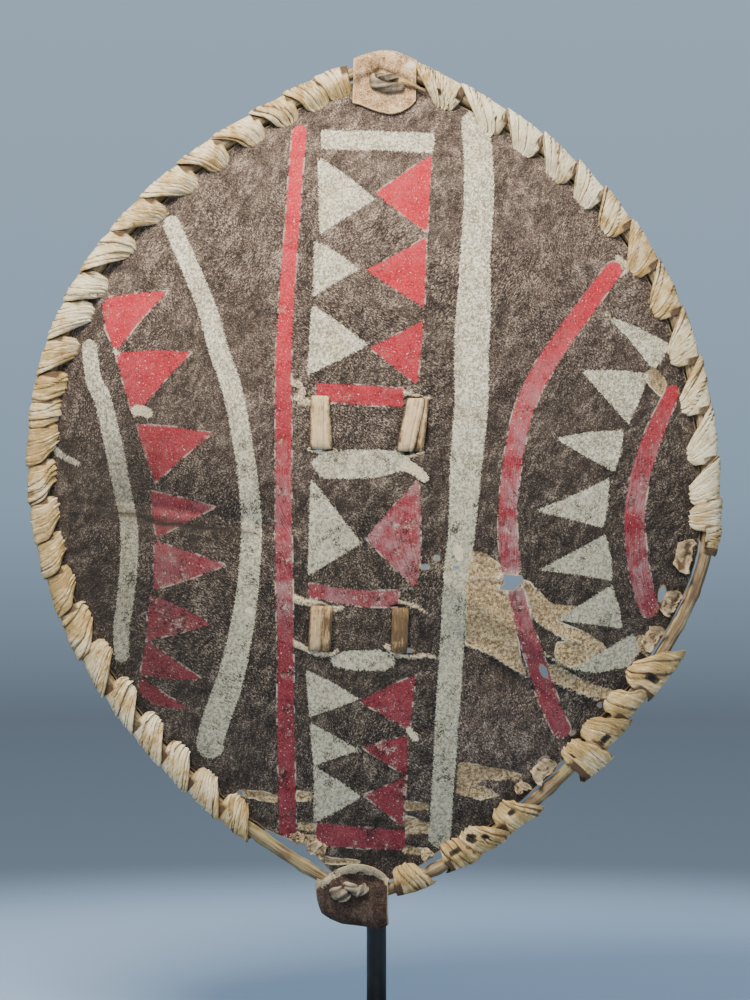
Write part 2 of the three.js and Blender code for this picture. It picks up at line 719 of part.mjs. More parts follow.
function standPost() {
  const grip = GRIPS.grip_strap_upper;
  const z = grip.bottom + 1.5 - STRAP.cord / 2 - CLEARANCE - STAND.prongRadius - 0.6;
  const middle = staveX(z);
  const tips = [-1, 1].map((side) => {
    const x = middle + side * STAND.prongSpread;
    return toWorld(new THREE.Vector3(x, hideFront(x, z) + HIDE.thickness + STAND.prongRadius * 0.5, z));
  });
  const crossY = STAND.rodY - 2;
  const level = (tips[0].z + tips[1].z) / 2;
  const prongs = tips.map((tip) => {
    const from = new THREE.Vector3(tip.x, tip.y + 2, tip.z);
    const to = new THREE.Vector3(tip.x, crossY, level);
    return cord([from, to], STAND.prongRadius, 10);
  });
  const bar = cord([
    new THREE.Vector3(tips[0].x - 3, crossY, level), new THREE.Vector3(tips[1].x + 3, crossY, level),
  ], STAND.prongRadius + 0.6, 10);
  const bottom = STAND.footThickness - STAND.socketDepth + 0.3;
  const top = level + 9;
  const rod = new THREE.CylinderGeometry(STAND.rodRadius, STAND.rodRadius, top - bottom, 20);
  rod.rotateX(Math.PI / 2);
  rod.translate(0, STAND.rodY, (top + bottom) / 2);
  return join(rod, bar, ...prongs);
}

function standFoot() {
  const { footWidth, footDepth, footThickness, socketDepth, rodRadius, rodY } = STAND;
  const corner = 14;
  const plate = new THREE.Shape();
  const [w, d] = [footWidth / 2 - corner, footDepth / 2 - corner];
  plate.absarc(w, d, corner, 0, Math.PI / 2);
  plate.absarc(-w, d, corner, Math.PI / 2, Math.PI);
  plate.absarc(-w, -d, corner, Math.PI, Math.PI * 1.5);
  plate.absarc(w, -d, corner, Math.PI * 1.5, Math.PI * 2);
  const bevel = 1.2;
  const body = new THREE.ExtrudeGeometry(plate, {
    depth: footThickness - 2 * bevel, bevelThickness: bevel, bevelSize: bevel, bevelOffset: -bevel,
    bevelSegments: 1, curveSegments: 4,
  });
  body.translate(0, 0, bevel);
  const socket = new THREE.CylinderGeometry(rodRadius + 0.3, rodRadius + 0.3, socketDepth * 2, 20);
  socket.rotateX(Math.PI / 2);
  socket.translate(0, rodY, footThickness);
  return cut(body, [socket]);
}

// ---------------------------------------------------------------- assembly
const runs = Object.entries(LASH_RUNS).map(([name, run]) => [name, lashStations(run)]);
const remnants = REMNANTS.map((spec, i) => [`remnant_${i + 1}`, remnantStations(spec), spec]);
const hideCutters = [
  ...runs.flatMap(([, stations]) => lashSlits(stations)),
  ...remnants.map(([, stations]) => {
    const { side, s, q, half } = stations[3];
    return slitCutter(side, s - half - 2, s + half + 2, -q + 2.2, -q - 3.4);
  }),
  ...Object.values(GRIPS).flatMap(gripSlits),
  ...Object.values(TIES).flatMap(tieHoles),
  ...HOLES.map(hole),
];

function rimHoop() {
  const ring = [];
  for (const side of ['right', 'left']) {
    const total = RIM[side].at(-1).s;
    const steps = 31;
    for (let i = 0; i < steps; i += 1) {
      const s = (side === 'right' ? i / steps : 1 - i / steps) * total;
      const { p, out } = rimAt(side, s);
      const outward = i === 0 ? new THREE.Vector2(0, Math.sign(p.y)) : out;
      ring.push({ p: new THREE.Vector3(p.x, sweepAt(p.y), p.y), out: outward });
    }
  }
  return solidFromRings(ring.map(({ p, out }) => Array.from({ length: 8 }, (_, k) => {
    const angle = ((k + 0.5) * Math.PI) / 4;
    const [q, f] = [Math.cos(angle) * HOOP.radius, Math.sin(angle) * HOOP.radius];
    return new THREE.Vector3(p.x + out.x * q, p.y - f, p.z + out.y * q);
  })), true);
}

const shield = new THREE.Group();
shield.rotation.y = leanAngle;
shield.position.copy(SHIELD.centre);

function add(parent, name, geometry, material) {
  const mesh = new THREE.Mesh(geometry, material);
  mesh.name = name;
  parent.add(mesh);
}

add(shield, 'hide_panel', cut(hideSheet(), hideCutters), MATERIALS.hide());
add(shield, 'rim_hoop', rimHoop(), MATERIALS.hoop());
for (const [name, stations] of runs) {
  add(shield, name, solidFromRings(lashRings(stations)), MATERIALS.rawhide());
}
for (const [name, stations] of remnants) {
  add(shield, name, solidFromRings(lashRings(stations)), MATERIALS.tan());
}
for (const [name, spec] of Object.entries(PATCHES)) {
  const tieSpec = TIES[name.replace('patch', 'tie')];
  const material = name === 'top_patch' ? MATERIALS.suede() : MATERIALS.dark();
  add(shield, name, cut(patch(spec), tieHoles(tieSpec)), material);
}
for (const [name, spec] of Object.entries(TIES)) add(shield, name, tie(spec), MATERIALS.rawhide());
add(shield, 'handle_stave', handleStave(), MATERIALS.stave());
for (const [name, spec] of Object.entries(GRIPS)) add(shield, name, gripStrap(spec), MATERIALS.rawhide());

const model = new THREE.Group();
model.name = 'hide_shield';
model.add(shield);
add(model, 'stand_post', standPost(), MATERIALS.steel());
add(model, 'stand_foot', standFoot(), MATERIALS.steel());

export default model;
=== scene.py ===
# Looks of the hide shield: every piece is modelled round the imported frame, in metres, +Z up.
import math

import bmesh
import bpy
import numpy as np
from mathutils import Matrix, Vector


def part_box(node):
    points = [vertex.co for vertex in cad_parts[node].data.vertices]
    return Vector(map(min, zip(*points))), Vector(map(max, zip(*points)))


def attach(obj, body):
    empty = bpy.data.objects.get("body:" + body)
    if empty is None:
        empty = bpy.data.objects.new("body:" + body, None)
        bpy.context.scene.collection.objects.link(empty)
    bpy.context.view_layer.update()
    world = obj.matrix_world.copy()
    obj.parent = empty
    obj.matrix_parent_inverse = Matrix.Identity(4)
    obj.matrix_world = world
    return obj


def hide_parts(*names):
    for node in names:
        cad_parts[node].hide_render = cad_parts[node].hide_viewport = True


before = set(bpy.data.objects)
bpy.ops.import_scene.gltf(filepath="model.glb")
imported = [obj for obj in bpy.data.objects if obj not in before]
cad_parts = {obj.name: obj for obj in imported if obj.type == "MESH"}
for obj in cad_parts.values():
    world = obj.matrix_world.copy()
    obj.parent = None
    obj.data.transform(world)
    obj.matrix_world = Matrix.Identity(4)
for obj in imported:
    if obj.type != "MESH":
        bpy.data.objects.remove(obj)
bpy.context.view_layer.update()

# ------------------------------------------------------------------ shield space
# x to the right, y backwards, z up, from the middle of the hoop, in millimetres.
HOOP_LOW, HOOP_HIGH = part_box("rim_hoop")
HOOP_HEIGHT = 854.0  # from outside to outside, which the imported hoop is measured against
SCALE = (HOOP_HIGH.z - HOOP_LOW.z) / HOOP_HEIGHT  # metres for each millimetre of shield space
HOOP_MIDDLE = (HOOP_LOW + HOOP_HIGH) / 2
CENTRE = (
    HOOP_MIDDLE.x - 4.9 * SCALE,  # the left and right reach differ a little
    HOOP_LOW.y + 6.2 * SCALE,
    HOOP_MIDDLE.z,
)
LEAN = math.radians(1.54)  # top towards +X
SWEEP = 26.0  # the tips stand this far behind the middle of the hoop
DOME = 50.0  # the hide bulges this far in front of it
HALF = 421.0  # half the hoop's height
HOOP_RADIUS = 6.7
RIM_OFFSET = 12.0  # places along the rim are measured on the lashing's outer edge
HIDE_INSET = 8.3
HIDE_THICKNESS = 2.6

VIEW_DISTANCE = 3000.0  # the paint is laid out as it looks from here
VIEW_AXIS = (5.5, -21.0)  # where that line of sight meets the hoop, in upright millimetres
HIDE_STEP = 3.1
FOLDS = [  # from, to, height, half width; below zero is a valley
    ((-330, -20), (-80, -50), -11, 26),
    ((60, -90), (235, -200), 7, 16),
    ((90, -150), (215, -240), -6, 18),
    ((165, 175), (255, 225), 4, 16),
]
SLIT = 18.0  # from the hoop's centreline in to the lashing's slits
SLIT_WIDTH = 25.0
LASH_REACH = 9.8  # from the hoop's centreline out to the lashing's fold
LASH_LAP = 2.6
LASH_SKEW = 5.0  # how far a turn's outside is carried on along the rim
LASH_FAN = [0, 0.08, 0.56, 1, 1, 0.66, 0.06]  # share of the way from slit width to full width
LASH_STEPS = 4
LASH_SHIFT = 13  # from a turn's edge to the middle of its slit
OPEN_TURNS = 5  # the first ones on the left lean less and leave the stick in sight between them
OPEN_SHIFT, OPEN_FAN = 18, 0.34
# turns on the left whose slits lie nearer the edge, and how soon they spread
SHORT_TURNS = {11: 16, 12: 14.5, 13: 14.5, 14: 13, 15: 13.5, 16: 12.8, 17: 13, 18: 15.5}
SHORT_FANS = 0.36, 0.80
LASH_COLUMNS = 58
LASH_EDGES = {
    "lashing_right": [38, 92, 143, 187, 232, 270, 312, 360, 413, 466, 517, 568, 611, 638, 662],
    "lashing_left": [31, 60, 94, 133, 179, 222, 271, 317, 367, 401, 443, 480, 508, 534, 572, 612, 651, 687,
                     728, 775, 819, 866, 908, 946, 987, 1024],
    "lashing_lower_right": [769, 822, 856, 894, 924],
    "lashing_bottom_right": [980, 1021, 1062, 1088],
    "lashing_bottom": [1112, 1146],
}
# each turn: pleats, depth of the pleats, roundness, tone from cream to tan
RIGHT_STYLES = [
    (6, 1.2, 0.5, 0.45), (6, 1.2, 0.2, 0.2), (4, 0.8, 0.1, 0.02), (5, 1.1, 0.1, 0.16), (4, 0.8, 0.1, 0.14),
    (4, 0.9, 0.1, 0.5), (4, 0.8, 0.1, 0.62), (4, 0.8, 0.1, 0.7), (5, 0.9, 0.1, 0.4), (4, 0.8, 0.2, 0.36),
    (4, 0.9, 0.2, 0.26), (5, 0.9, 0.2, 0.34), (4, 1.0, 0.2, 0.6), (3, 1.1, 0.3, 0.72),
]
LEFT_STYLES = [
    (4, 0.8, 0.3, 0.6), (4, 0.9, 0.2, 0.72), (3, 0.5, 0.1, 0.64), (3, 0.5, 0.1, 0.66), (4, 1.0, 0.5, 0.6),
    (5, 1.1, 0.6, 0.58), (5, 1.2, 0.6, 0.62), (5, 1.3, 0.6, 0.52), (6, 1.4, 0.6, 0.36), (5, 1.3, 0.6, 0.4),
    (4, 1.2, 0.7, 0.62), (4, 1.1, 0.9, 0.88), (4, 1.2, 0.9, 0.86), (5, 1.4, 0.9, 0.84), (4, 1.3, 0.9, 0.86),
    (4, 1.2, 0.9, 0.88), (4, 1.3, 0.9, 0.82), (4, 1.2, 0.8, 0.78), (5, 1.3, 0.6, 0.72), (6, 1.3, 0.5, 0.64),
    (7, 1.3, 0.4, 0.58), (7, 1.3, 0.4, 0.55), (6, 1.3, 0.4, 0.52), (6, 1.3, 0.4, 0.56), (5, 1.2, 0.4, 0.68),
]
LOWER_RIGHT_STYLES = [(3, 1.5, 0.3, 0.75), (2, 0.5, 0.4, 0.85), (5, 1.0, 0.4, 0.9), (4, 1.3, 0.2, 0.7)]
BOTTOM_RIGHT_STYLES = [(3, 1.5, 0.3, 0.85), (4, 1.6, 0.3, 0.8), (3, 1.4, 0.2, 0.95)]
BOTTOM_STYLES = [(3, 1.0, 0.4, 0.9)]
# holes and tears in the lashing, with painted shade inside: place along the rim, place outwards, half length
# and half width
RIGHT_PITS = [(88, -3, 3.0, 2.2), (68, -6, 2.2, 1.6), (132, -2, 1.6, 1.2), (652, -6, 7, 3.5)]
LOWER_RIGHT_PITS = [(802, 4.5, 5.0, 5.5), (880, 6.5, 8.0, 1.3), (915, -8, 1.8, 1.8)]
BOTTOM_RIGHT_PITS = [(1001, -5, 4.5, 1.8), (1037, -2, 4.0, 3.0), (1050, -9, 5.0, 4.0), (1072, -6, 6, 2.0)]
GOLDEN_TURNS = {1: 0.35, 3: 0.45, 5: 1.0, 6: 1.0, 8: 0.3}  # on the right, by how golden
REMNANTS = [  # side, from, to, outer reach, inner reach, curl
    ("right", 648, 690, 12, 29, 4.0),
    ("right", 710, 740, 9, 25, 1.5),
    ("right", 752, 782, 9, 24, 3.0),
    ("right", 932, 962, 9, 26, 2.0),
    ("right", 968, 984, 13, 25, 3.0),
    ("right", 1093, 1107, 12, 23, 2.5),
    ("left", 1066, 1082, 16, 26, 2.0),
    ("left", 1088, 1108, 14, 30, 2.0),
]
TOP_TAB_RIM = [(-27, 377), (-20, 375.5), (-10, 371.5), (0, 367.8), (8, 366), (14, 366), (22, 369),
               (30, 374.5), (36, 381)]
BOTTOM_TAB_RIM = [(-41, 409), (-37, 404), (-31, 400), (-20, 392), (-8, 387.3), (3, 387), (15, 390),
                  (24, 395.5), (30, 402)]
TOP_TAB_EDGE = [(-27, 422.3), (-25, 423.3), (-16, 427.4), (-9, 429.8), (-2, 431.4), (4.3, 431.9),
                (12, 431.1), (19, 429.2), (38, 422.3)]
BOTTOM_TAB_EDGE = [(-43, 415), (-41, 419), (-40, 426.5), (-36, 437.5), (-26, 443.5), (-15.4, 447.5),
                   (8.6, 450.2), (21, 453), (27, 450), (30, 446.5)]
# strands on the tabs: radius, then places with the height over the tab
TOP_STRANDS = [
    (5.0, [(-3.5, 406.5, -3), (-6.8, 402.5, 1.5), (-6.0, 398.6, 3.2), (-2.0, 395.6, 4.2), (5.4, 393.9, 4.6),
           (13.4, 393.2, 4.2), (19.5, 394.2, 2.0), (22.2, 395.6, -2)]),
    (3.9, [(-1.8, 406, -2), (1.5, 405.0, 2.6), (7.8, 404.2, 3.4), (14.6, 403.3, 3.0), (18.6, 402, 1),
           (20.5, 401, -2)]),
]
BOTTOM_STRANDS = [
    (7.0, [(-25, -415.0, -3), (-22.5, -416.4, 1.0), (-18.5, -417.6, 1.6), (-15, -418.2, 0.8),
           (-12.5, -418, -3)]),
    (4.6, [(-13.5, -407.5, -3), (-10, -409.3, 3.2), (-5, -411.8, 3.8), (0, -413.9, 3.6), (5, -413.2, 1.5),
           (7, -412, -3)]),
    (4.0, [(-3, -418, -3), (0, -415.5, 3.2), (3.5, -411.8, 3.8), (5.5, -408.8, -2)]),
]
# grip straps: left, right, top and bottom of the stitches on the front
GRIPS = {"grip_strap_upper": (-50, 40, 79, 29), "grip_strap_lower": (-46, 34, -128, -170)}
# front bands of the straps: places at the top and the bottom, half widths there, how far they stand out, tone
UPPER_BANDS = [(-51, -48, 9.0, 10.8, 0.4, 0.12), (43.7, 34.5, 8.8, 8.7, 0.6, 0.18),
               (52.8, 48.4, 3.6, 3.8, -1.0, 0.75)]
LOWER_BANDS = [(-47.5, -49.3, 6.6, 6.4, 0.5, 0.45), (-37.4, -38.8, 4.6, 4.6, -0.2, 0.8),
               (34, 33.6, 7.8, 7.7, 0.3, 1.0)]
STAVE_ENDS = (-10, 7)  # sideways place of the stave's bottom end, and of its top end
STAVE_HALF = 407
STAVE_WIDE, STAVE_DEEP = 8.0, 5.5  # half its width and half its depth
HIDE_BACK = 3.0  # from the hide's front face to clear of its back
GAP = 0.4  # between pieces that touch
STRAP_ROLL = 3.5  # radius of the straps' runs behind the stave
RUN_INSET = 1.5  # the runs lie this far inside the slits
GRIP_HIGH, GRIP_LOW = 18, -117  # the stretch that bows away from the hide
GRIP_BOW, GRIP_RAMP = 42, 34
ROD_RADIUS, CROSS_RADIUS, FORK_RADIUS, FORK_REACH = 10, 4.6, 4, 18
FOOT_CORNER = 14
ROD_DEPTH = 35.0  # the rod's axis stands this far behind the middle of the foot
FLOOR_RADIUS = 1.55
CAMERA_TARGET = (-0.0015, -0.025, 0.545)
# sign of x, reach, height of the widest point, then (tip angle, tip handle, side handle) above and below
SIDES = {
    "left": (-1, 330, 18, (24.2, 215, 190), (26.4, 177, 212)),
    "right": (1, 340, -41, (19.2, 213, 263), (12.7, 163, 115)),
}


def to_frame(points):
    """From shield space in millimetres to the frame in metres."""
    p = np.asarray(points, float)
    x = p[..., 0] * math.cos(LEAN) + p[..., 2] * math.sin(LEAN)
    z = p[..., 2] * math.cos(LEAN) - p[..., 0] * math.sin(LEAN)
    return stacked(x, p[..., 1], z) * SCALE + np.array(CENTRE)


def upright(x, z):
    """Shield space to upright millimetres about the same middle, in which the paint is laid out."""
    return x * math.cos(LEAN) + z * math.sin(LEAN), z * math.cos(LEAN) - x * math.sin(LEAN)


def smoothstep(x, low, high):
    t = np.clip((np.asarray(x, float) - low) / (high - low), 0, 1)
    return t * t * (3 - 2 * t)


def lerp(a, b, t):
    return a + (b - a) * t


def run_length(points):
    """The length of a line up to each of its points."""
    return np.r_[0, np.cumsum(np.linalg.norm(np.diff(points, axis=0), axis=1))]


def bump(x, centre, half_width):
    return np.maximum(0, 1 - ((np.asarray(x, float) - centre) / half_width) ** 2) ** 2


def stacked(*values):
    """The values spread to one shape, as the last axis."""
    return np.stack(np.broadcast_arrays(*values), -1)


def both_faces(values, shape):
    """One value for each point of a slab's front, and again for its back."""
    return np.tile(np.broadcast_to(values, shape).ravel(), 2)


# ------------------------------------------------------------------ noise in numpy
def lattice(ix, iy, seed):
    h = (ix * 374761393 + iy * 668265263 + seed * 974634777) & 0xFFFFFFFF
    h = ((h ^ (h >> 13)) * 1274126177) & 0xFFFFFFFF
    return ((h ^ (h >> 16)) & 0xFFFFFF) / float(0xFFFFFF) * 2 - 1


def noise(x, y, seed=0):
    """Smooth noise from -1 to 1 over a unit lattice."""
    x, y = np.broadcast_arrays(np.asarray(x, float), np.asarray(y, float))
    ix, iy = np.floor(x).astype(np.int64), np.floor(y).astype(np.int64)
    fx, fy = x - ix, y - iy
    fx, fy = fx * fx * (3 - 2 * fx), fy * fy * (3 - 2 * fy)
    low = lerp(lattice(ix, iy, seed), lattice(ix + 1, iy, seed), fx)
    high = lerp(lattice(ix, iy + 1, seed), lattice(ix + 1, iy + 1, seed), fx)
    return lerp(low, high, fy)


def fractal(x, y, seed=0, octaves=3):
    total, size = 0.0, 1.0
    for k in range(octaves):
        total = total + noise(np.asarray(x) * 2**k, np.asarray(y) * 2**k, seed + k) * size
        size *= 0.5
    return total / 1.75


# ------------------------------------------------------------------ the rim
class Side:
    """One side of the hoop from the top tip to the bottom tip."""

    def __init__(self, sign, reach, widest, top, bottom):
        def tip(end, angle, handle):
            a = math.radians(angle)
            return np.array([sign * handle * math.cos(a), end * (HALF - handle * math.sin(a))])

        wide = np.array([sign * reach, widest])
        upper = bezier([0, HALF], tip(1, *top[:2]), [sign * reach, widest + top[2]], wide)
        lower = bezier(wide, [sign * reach, widest - bottom[2]], tip(-1, *bottom[:2]), [0, -HALF])
        self.p = np.vstack([upper, lower[1:]])
        tangent = np.gradient(self.p, axis=0)
        tangent /= np.linalg.norm(tangent, axis=1)[:, None]
        self.out = np.stack([-sign * tangent[:, 1], sign * tangent[:, 0]], 1)
        edge = self.p + self.out * RIM_OFFSET
        self.s = run_length(edge)
        self.length = self.s[-1]

    def at(self, s):
        s = np.clip(s, 0, self.length)
        p = np.stack([np.interp(s, self.s, self.p[:, k]) for k in (0, 1)], -1)
        out = np.stack([np.interp(s, self.s, self.out[:, k]) for k in (0, 1)], -1)
        return p, out / np.linalg.norm(out, axis=-1, keepdims=True)


def bezier(a, b, c, d, steps=300):
    t = np.linspace(0, 1, steps)[:, None]
    a, b, c, d = (np.asarray(v, float) for v in (a, b, c, d))
    return a * (1 - t) ** 3 + 3 * b * t * (1 - t) ** 2 + 3 * c * t**2 * (1 - t) + d * t**3


RIM = {name: Side(*values) for name, values in SIDES.items()}


def sweep(z):
    return SWEEP * (np.asarray(z) / HALF) ** 2


def rim_point(side, s, q, f):
    """The point q outwards from the hoop's centreline and f in front of it."""
    p, out = RIM[side].at(s)
    x, z = p[..., 0] + out[..., 0] * q, p[..., 1] + out[..., 1] * q
    return stacked(x, sweep(p[..., 1]) - f, z)


def reach_table():
    points = np.vstack([side.p for side in RIM.values()])
    angle = np.arctan2(points[:, 1], points[:, 0])
    order = np.argsort(angle)
    return angle[order], np.linalg.norm(points, axis=1)[order] - HIDE_INSET


REACH_ANGLE, REACH = reach_table()


def share_out(x, z):
    """0 at the middle of the hide and 1 at its edge."""
    reach = np.interp(np.arctan2(z, x), REACH_ANGLE, REACH, period=2 * math.pi)
    return np.hypot(x, z) / reach


# ------------------------------------------------------------------ distances in the plane
def path_distance(x, z, points):
    """Distance to a polyline, and the share of its length at the nearest point."""
    points = np.asarray(points, float)
    best, where = np.full(np.shape(x), 1e9), np.zeros(np.shape(x))
    run = run_length(points)
    for a, b, start, end in zip(points[:-1], points[1:], run[:-1], run[1:]):
        d = b - a
        t = np.clip(((x - a[0]) * d[0] + (z - a[1]) * d[1]) / max(d @ d, 1e-9), 0, 1)
        off = np.hypot(x - a[0] - d[0] * t, z - a[1] - d[1] * t)
        nearer = off < best
        best = np.where(nearer, off, best)
        where = np.where(nearer, lerp(start, end, t), where)
    return best, where / run[-1]


def polygon_depth(x, z, corners):
    """How deep a point lies inside a polygon, negative outside."""
    corners = np.asarray(corners, float)
    off, _ = path_distance(x, z, np.vstack([corners, corners[:1]]))
    inside = np.zeros(np.shape(x), bool)
    for a, b in zip(corners, np.roll(corners, -1, axis=0)):
        crosses = (a[1] > z) != (b[1] > z)
        with np.errstate(divide="ignore", invalid="ignore"):
            at = a[0] + (z - a[1]) / (b[1] - a[1]) * (b[0] - a[0])
        inside ^= crosses & (x < at)
    return np.where(inside, off, -off)


def curve(points, steps=8):
    """A smooth curve through given points."""
    p = np.asarray(points, float)
    p = np.vstack([2 * p[0] - p[1], p, 2 * p[-1] - p[-2]])
    t = np.linspace(0, 1, steps, endpoint=False)[:, None]
    parts = []
    for a, b, c, d in zip(p[:-3], p[1:-2], p[2:-1], p[3:]):
        parts.append(0.5 * (2 * b + (c - a) * t + (2 * a - 5 * b + 4 * c - d) * t**2
                            + (3 * b - a - 3 * c + d) * t**3))
    return np.vstack([*parts, p[-2:-1]])


def stroke_depth(x, z, points, widths):
    """How deep a point lies inside a stroke along a smooth curve, with widths spread along it."""
    off, where = path_distance(x, z, curve(points))
    return np.interp(where, np.linspace(0, 1, len(widths)), widths) / 2 - off


# ------------------------------------------------------------------ what is painted, worn and torn
# Places are seen from the front, in upright millimetres about the shield's middle.
# A stroke is a line and its widths; a shape is its corners.
WHITE_STROKES = [
    ([(-198, 255), (-182, 218), (-163, 172), (-150, 126), (-137, 88), (-127, 37), (-121, -5), (-118, -47),
      (-120, -89), (-124, -126), (-132, -170), (-141, -206), (-151, -233), (-159, -260), (-159, -266)],
     [17, 18, 19, 20, 20, 19, 20, 21, 22, 25, 28, 27]),
    ([(-280, 132), (-276, 100), (-267, 80), (-256, 34), (-250, 3), (-246, -16), (-241, -44), (-240, -73),
      (-243, -111), (-248, -150), (-248, -176)], [15, 17, 18, 17, 18, 17, 15]),
    ([(-320, 36), (-308, 24), (-291, 15)], [7, 6, 5]),
    ([(106, 355), (109, 314), (109, 273), (106, 229), (105, 190), (102, 129), (102, 79), (96, 9), (92, -55),
      (86, -96), (83, -157), (79, -219), (75, -280), (72, -329), (70, -358)],
     [28, 30, 30, 35, 34, 33, 28, 24, 24, 24, 22, 22]),
]
WHITE_SHAPES = [
    [(-49, 349), (8, 348), (65, 346), (64, 326), (8, 329), (-48, 330)],
    [(-52, 323), (-22, 303), (6, 280), (-20, 264), (-50, 245)],
    [(-55, 239), (-30, 225), (-10, 210), (-32, 197), (-57, 182)],
    [(-58, 175), (-28, 155), (-1, 134), (-30, 119), (-62, 104)],
    [(-59, 16), (-48, 26), (-25, 29), (10, 30), (32, 26), (41, 19), (34, 9), (10, 2), (-25, 0), (-48, 1)],
    [(-59, 1), (-35, -29), (-8, -64), (-32, -79), (-62, -97)],
    [(-40, -179), (-25, -172), (10, -171), (24, -176), (26, -185), (15, -192), (-20, -191), (-36, -187)],
    [(-64, -190), (-36, -204), (-10, -220), (-36, -230), (-60, -238)],
    [(-60, -243), (-35, -257), (-10, -271), (-34, -279), (-56, -287)],
    [(-56, -287), (-30, -302), (-8, -318), (-32, -332), (-56, -344)],
    [(237, 164), (270, 151), (300, 135), (294, 121), (284, 109), (260, 139)],
    [(211, 109), (250, 109), (280, 105), (270, 79), (259, 55), (233, 84)],
    [(185, 41), (220, 47), (254, 49), (252, 27), (245, 7), (215, 23)],
    [(165, -32), (204, -16), (240, 1), (239, -25), (234, -49), (200, -40)],
    [(169, -91), (203, -73), (236, -55), (242, -79), (243, -102), (205, -95)],
    [(186, -141), (215, -123), (242, -106), (250, -129), (253, -150), (220, -145)],
    [(201, -190), (235, -171), (264, -154), (271, -171), (260, -187), (228, -194)],
]
RED_STROKES = [
    ([(-70, 347), (-74, 304), (-77, 258), (-81, 209), (-84, 162), (-86, 119), (-86, 79), (-86, -51),
      (-85, -118), (-84, -185), (-84, -241), (-83, -294), (-82, -351)],
     [14, 14, 15, 16, 16, 17, 16, 17, 17]),
    ([(244, 209), (220, 177), (193, 140), (170, 104), (158, 79), (150, 54), (142, 9), (138, -41),
      (141, -88)], [17, 19, 20, 19, 18, 20]),
    ([(147, -115), (152, -136), (158, -157), (171, -197), (179, -221), (187, -240), (192, -250)],
     [16, 18, 20, 18]),
    ([(303, 87), (286, 49), (274, 14), (267, -17), (265, -50), (270, -92), (276, -117), (280, -129)],
     [14, 19, 20, 21, 20]),
]
RED_SHAPES = [
    [(-267, 174), (-261, 182), (-230, 186), (-202, 188), (-228, 160), (-254, 127), (-264, 149)],
    [(-254, 126), (-216, 129), (-178, 127), (-207, 96), (-236, 61), (-246, 94)],
    [(-233, 55), (-195, 52), (-157, 46), (-186, 22), (-214, -4), (-225, 27)],
    [(-219, -12), (-186, -19), (-154, -28), (-183, -43), (-213, -59), (-217, -36)],
    [(-215, -62), (-180, -73), (-143, -86), (-180, -100), (-216, -111), (-216, -87)],
    [(-219, -115), (-187, -129), (-157, -145), (-190, -154), (-223, -161), (-222, -138)],
    [(-223, -161), (-195, -181), (-166, -201), (-198, -200), (-229, -195), (-227, -178)],
    [(-230, -197), (-205, -215), (-179, -230), (-200, -229), (-217, -224), (-231, -213)],
    [(62, 324), (34, 306), (6, 286), (32, 265), (58, 246)],
    [(57, 242), (27, 225), (-4, 209), (25, 190), (55, 171)],
    [(54, 159), (26, 144), (0, 131), (23, 113), (48, 94)],
    [(-53, 96), (-10, 94), (34, 91), (34, 72), (-10, 74), (-53, 78)],
    [(49, 0), (22, -29), (-4, -59), (21, -85), (46, -110), (51, -81), (51, -29)],
    [(-61, -104), (-30, -109), (0, -112), (29, -111), (29, -128), (-5, -128), (-30, -124), (-60, -118)],
    [(46, -196), (18, -208), (-10, -222), (15, -237), (40, -251)],
    [(38, -257), (15, -262), (-7, -269), (16, -284), (37, -297)],
    [(37, -297), (16, -307), (-6, -316), (14, -332), (33, -347)],
    [(-54, -344), (-10, -348), (36, -351), (35, -371), (-10, -369), (-53, -366)],
]
WORN_SHAPES = [
    [(97, -69), (115, -74), (133, -87), (148, -94), (135, -97), (130, -107), (140, -114), (144, -137),
     (149, -162), (153, -187), (157, -198), (140, -187), (120, -175), (96, -165)],
    [(152, -99), (161, -103), (171, -115), (186, -126), (207, -127), (196, -135), (186, -141), (220, -155),
     (238, -169), (234, -173), (215, -170), (198, -162), (183, -153), (165, -140), (156, -117)],
    [(186, -161), (207, -166), (230, -171), (218, -183), (201, -189), (186, -181)],
    [(173, -184), (190, -187), (208, -198), (230, -207), (248, -213), (246, -218), (229, -220), (203, -211),
     (177, -199)],
    [(88, -282), (110, -286), (133, -290), (155, -295), (146, -301), (120, -300), (104, -304), (122, -311),
     (130, -317), (110, -321), (87, -315)],
    [(-130, -310), (-108, -312), (-92, -317), (-92, -324), (-115, -320), (-132, -318)],
    [(-74, -311), (-58, -313), (-58, -323), (-73, -322)],
    [(-73, -343), (-52, -345), (-54, -352), (-71, -351)],
    [(-80, -359), (-53, -355), (-51, -367), (-70, -373), (-86, -367)],
    [(35, -322), (60, -324), (60, -332), (35, -330)],
    [(35, -336), (60, -344), (60, -354), (35, -355)],
    [(34, -367), (58, -369), (54, -376), (33, -374)],
    [(-67, -378), (-40, -378), (-8, -381), (-10, -385), (-44, -385), (-64, -387)],
    [(274, 105), (286, 113), (298, 95), (293, 81), (280, 93)],
    [(260, -161), (271, -155), (286, -161), (290, -173), (280, -179), (270, -173)],
    [(276, -117), (285, -121), (290, -133), (282, -137)],
]
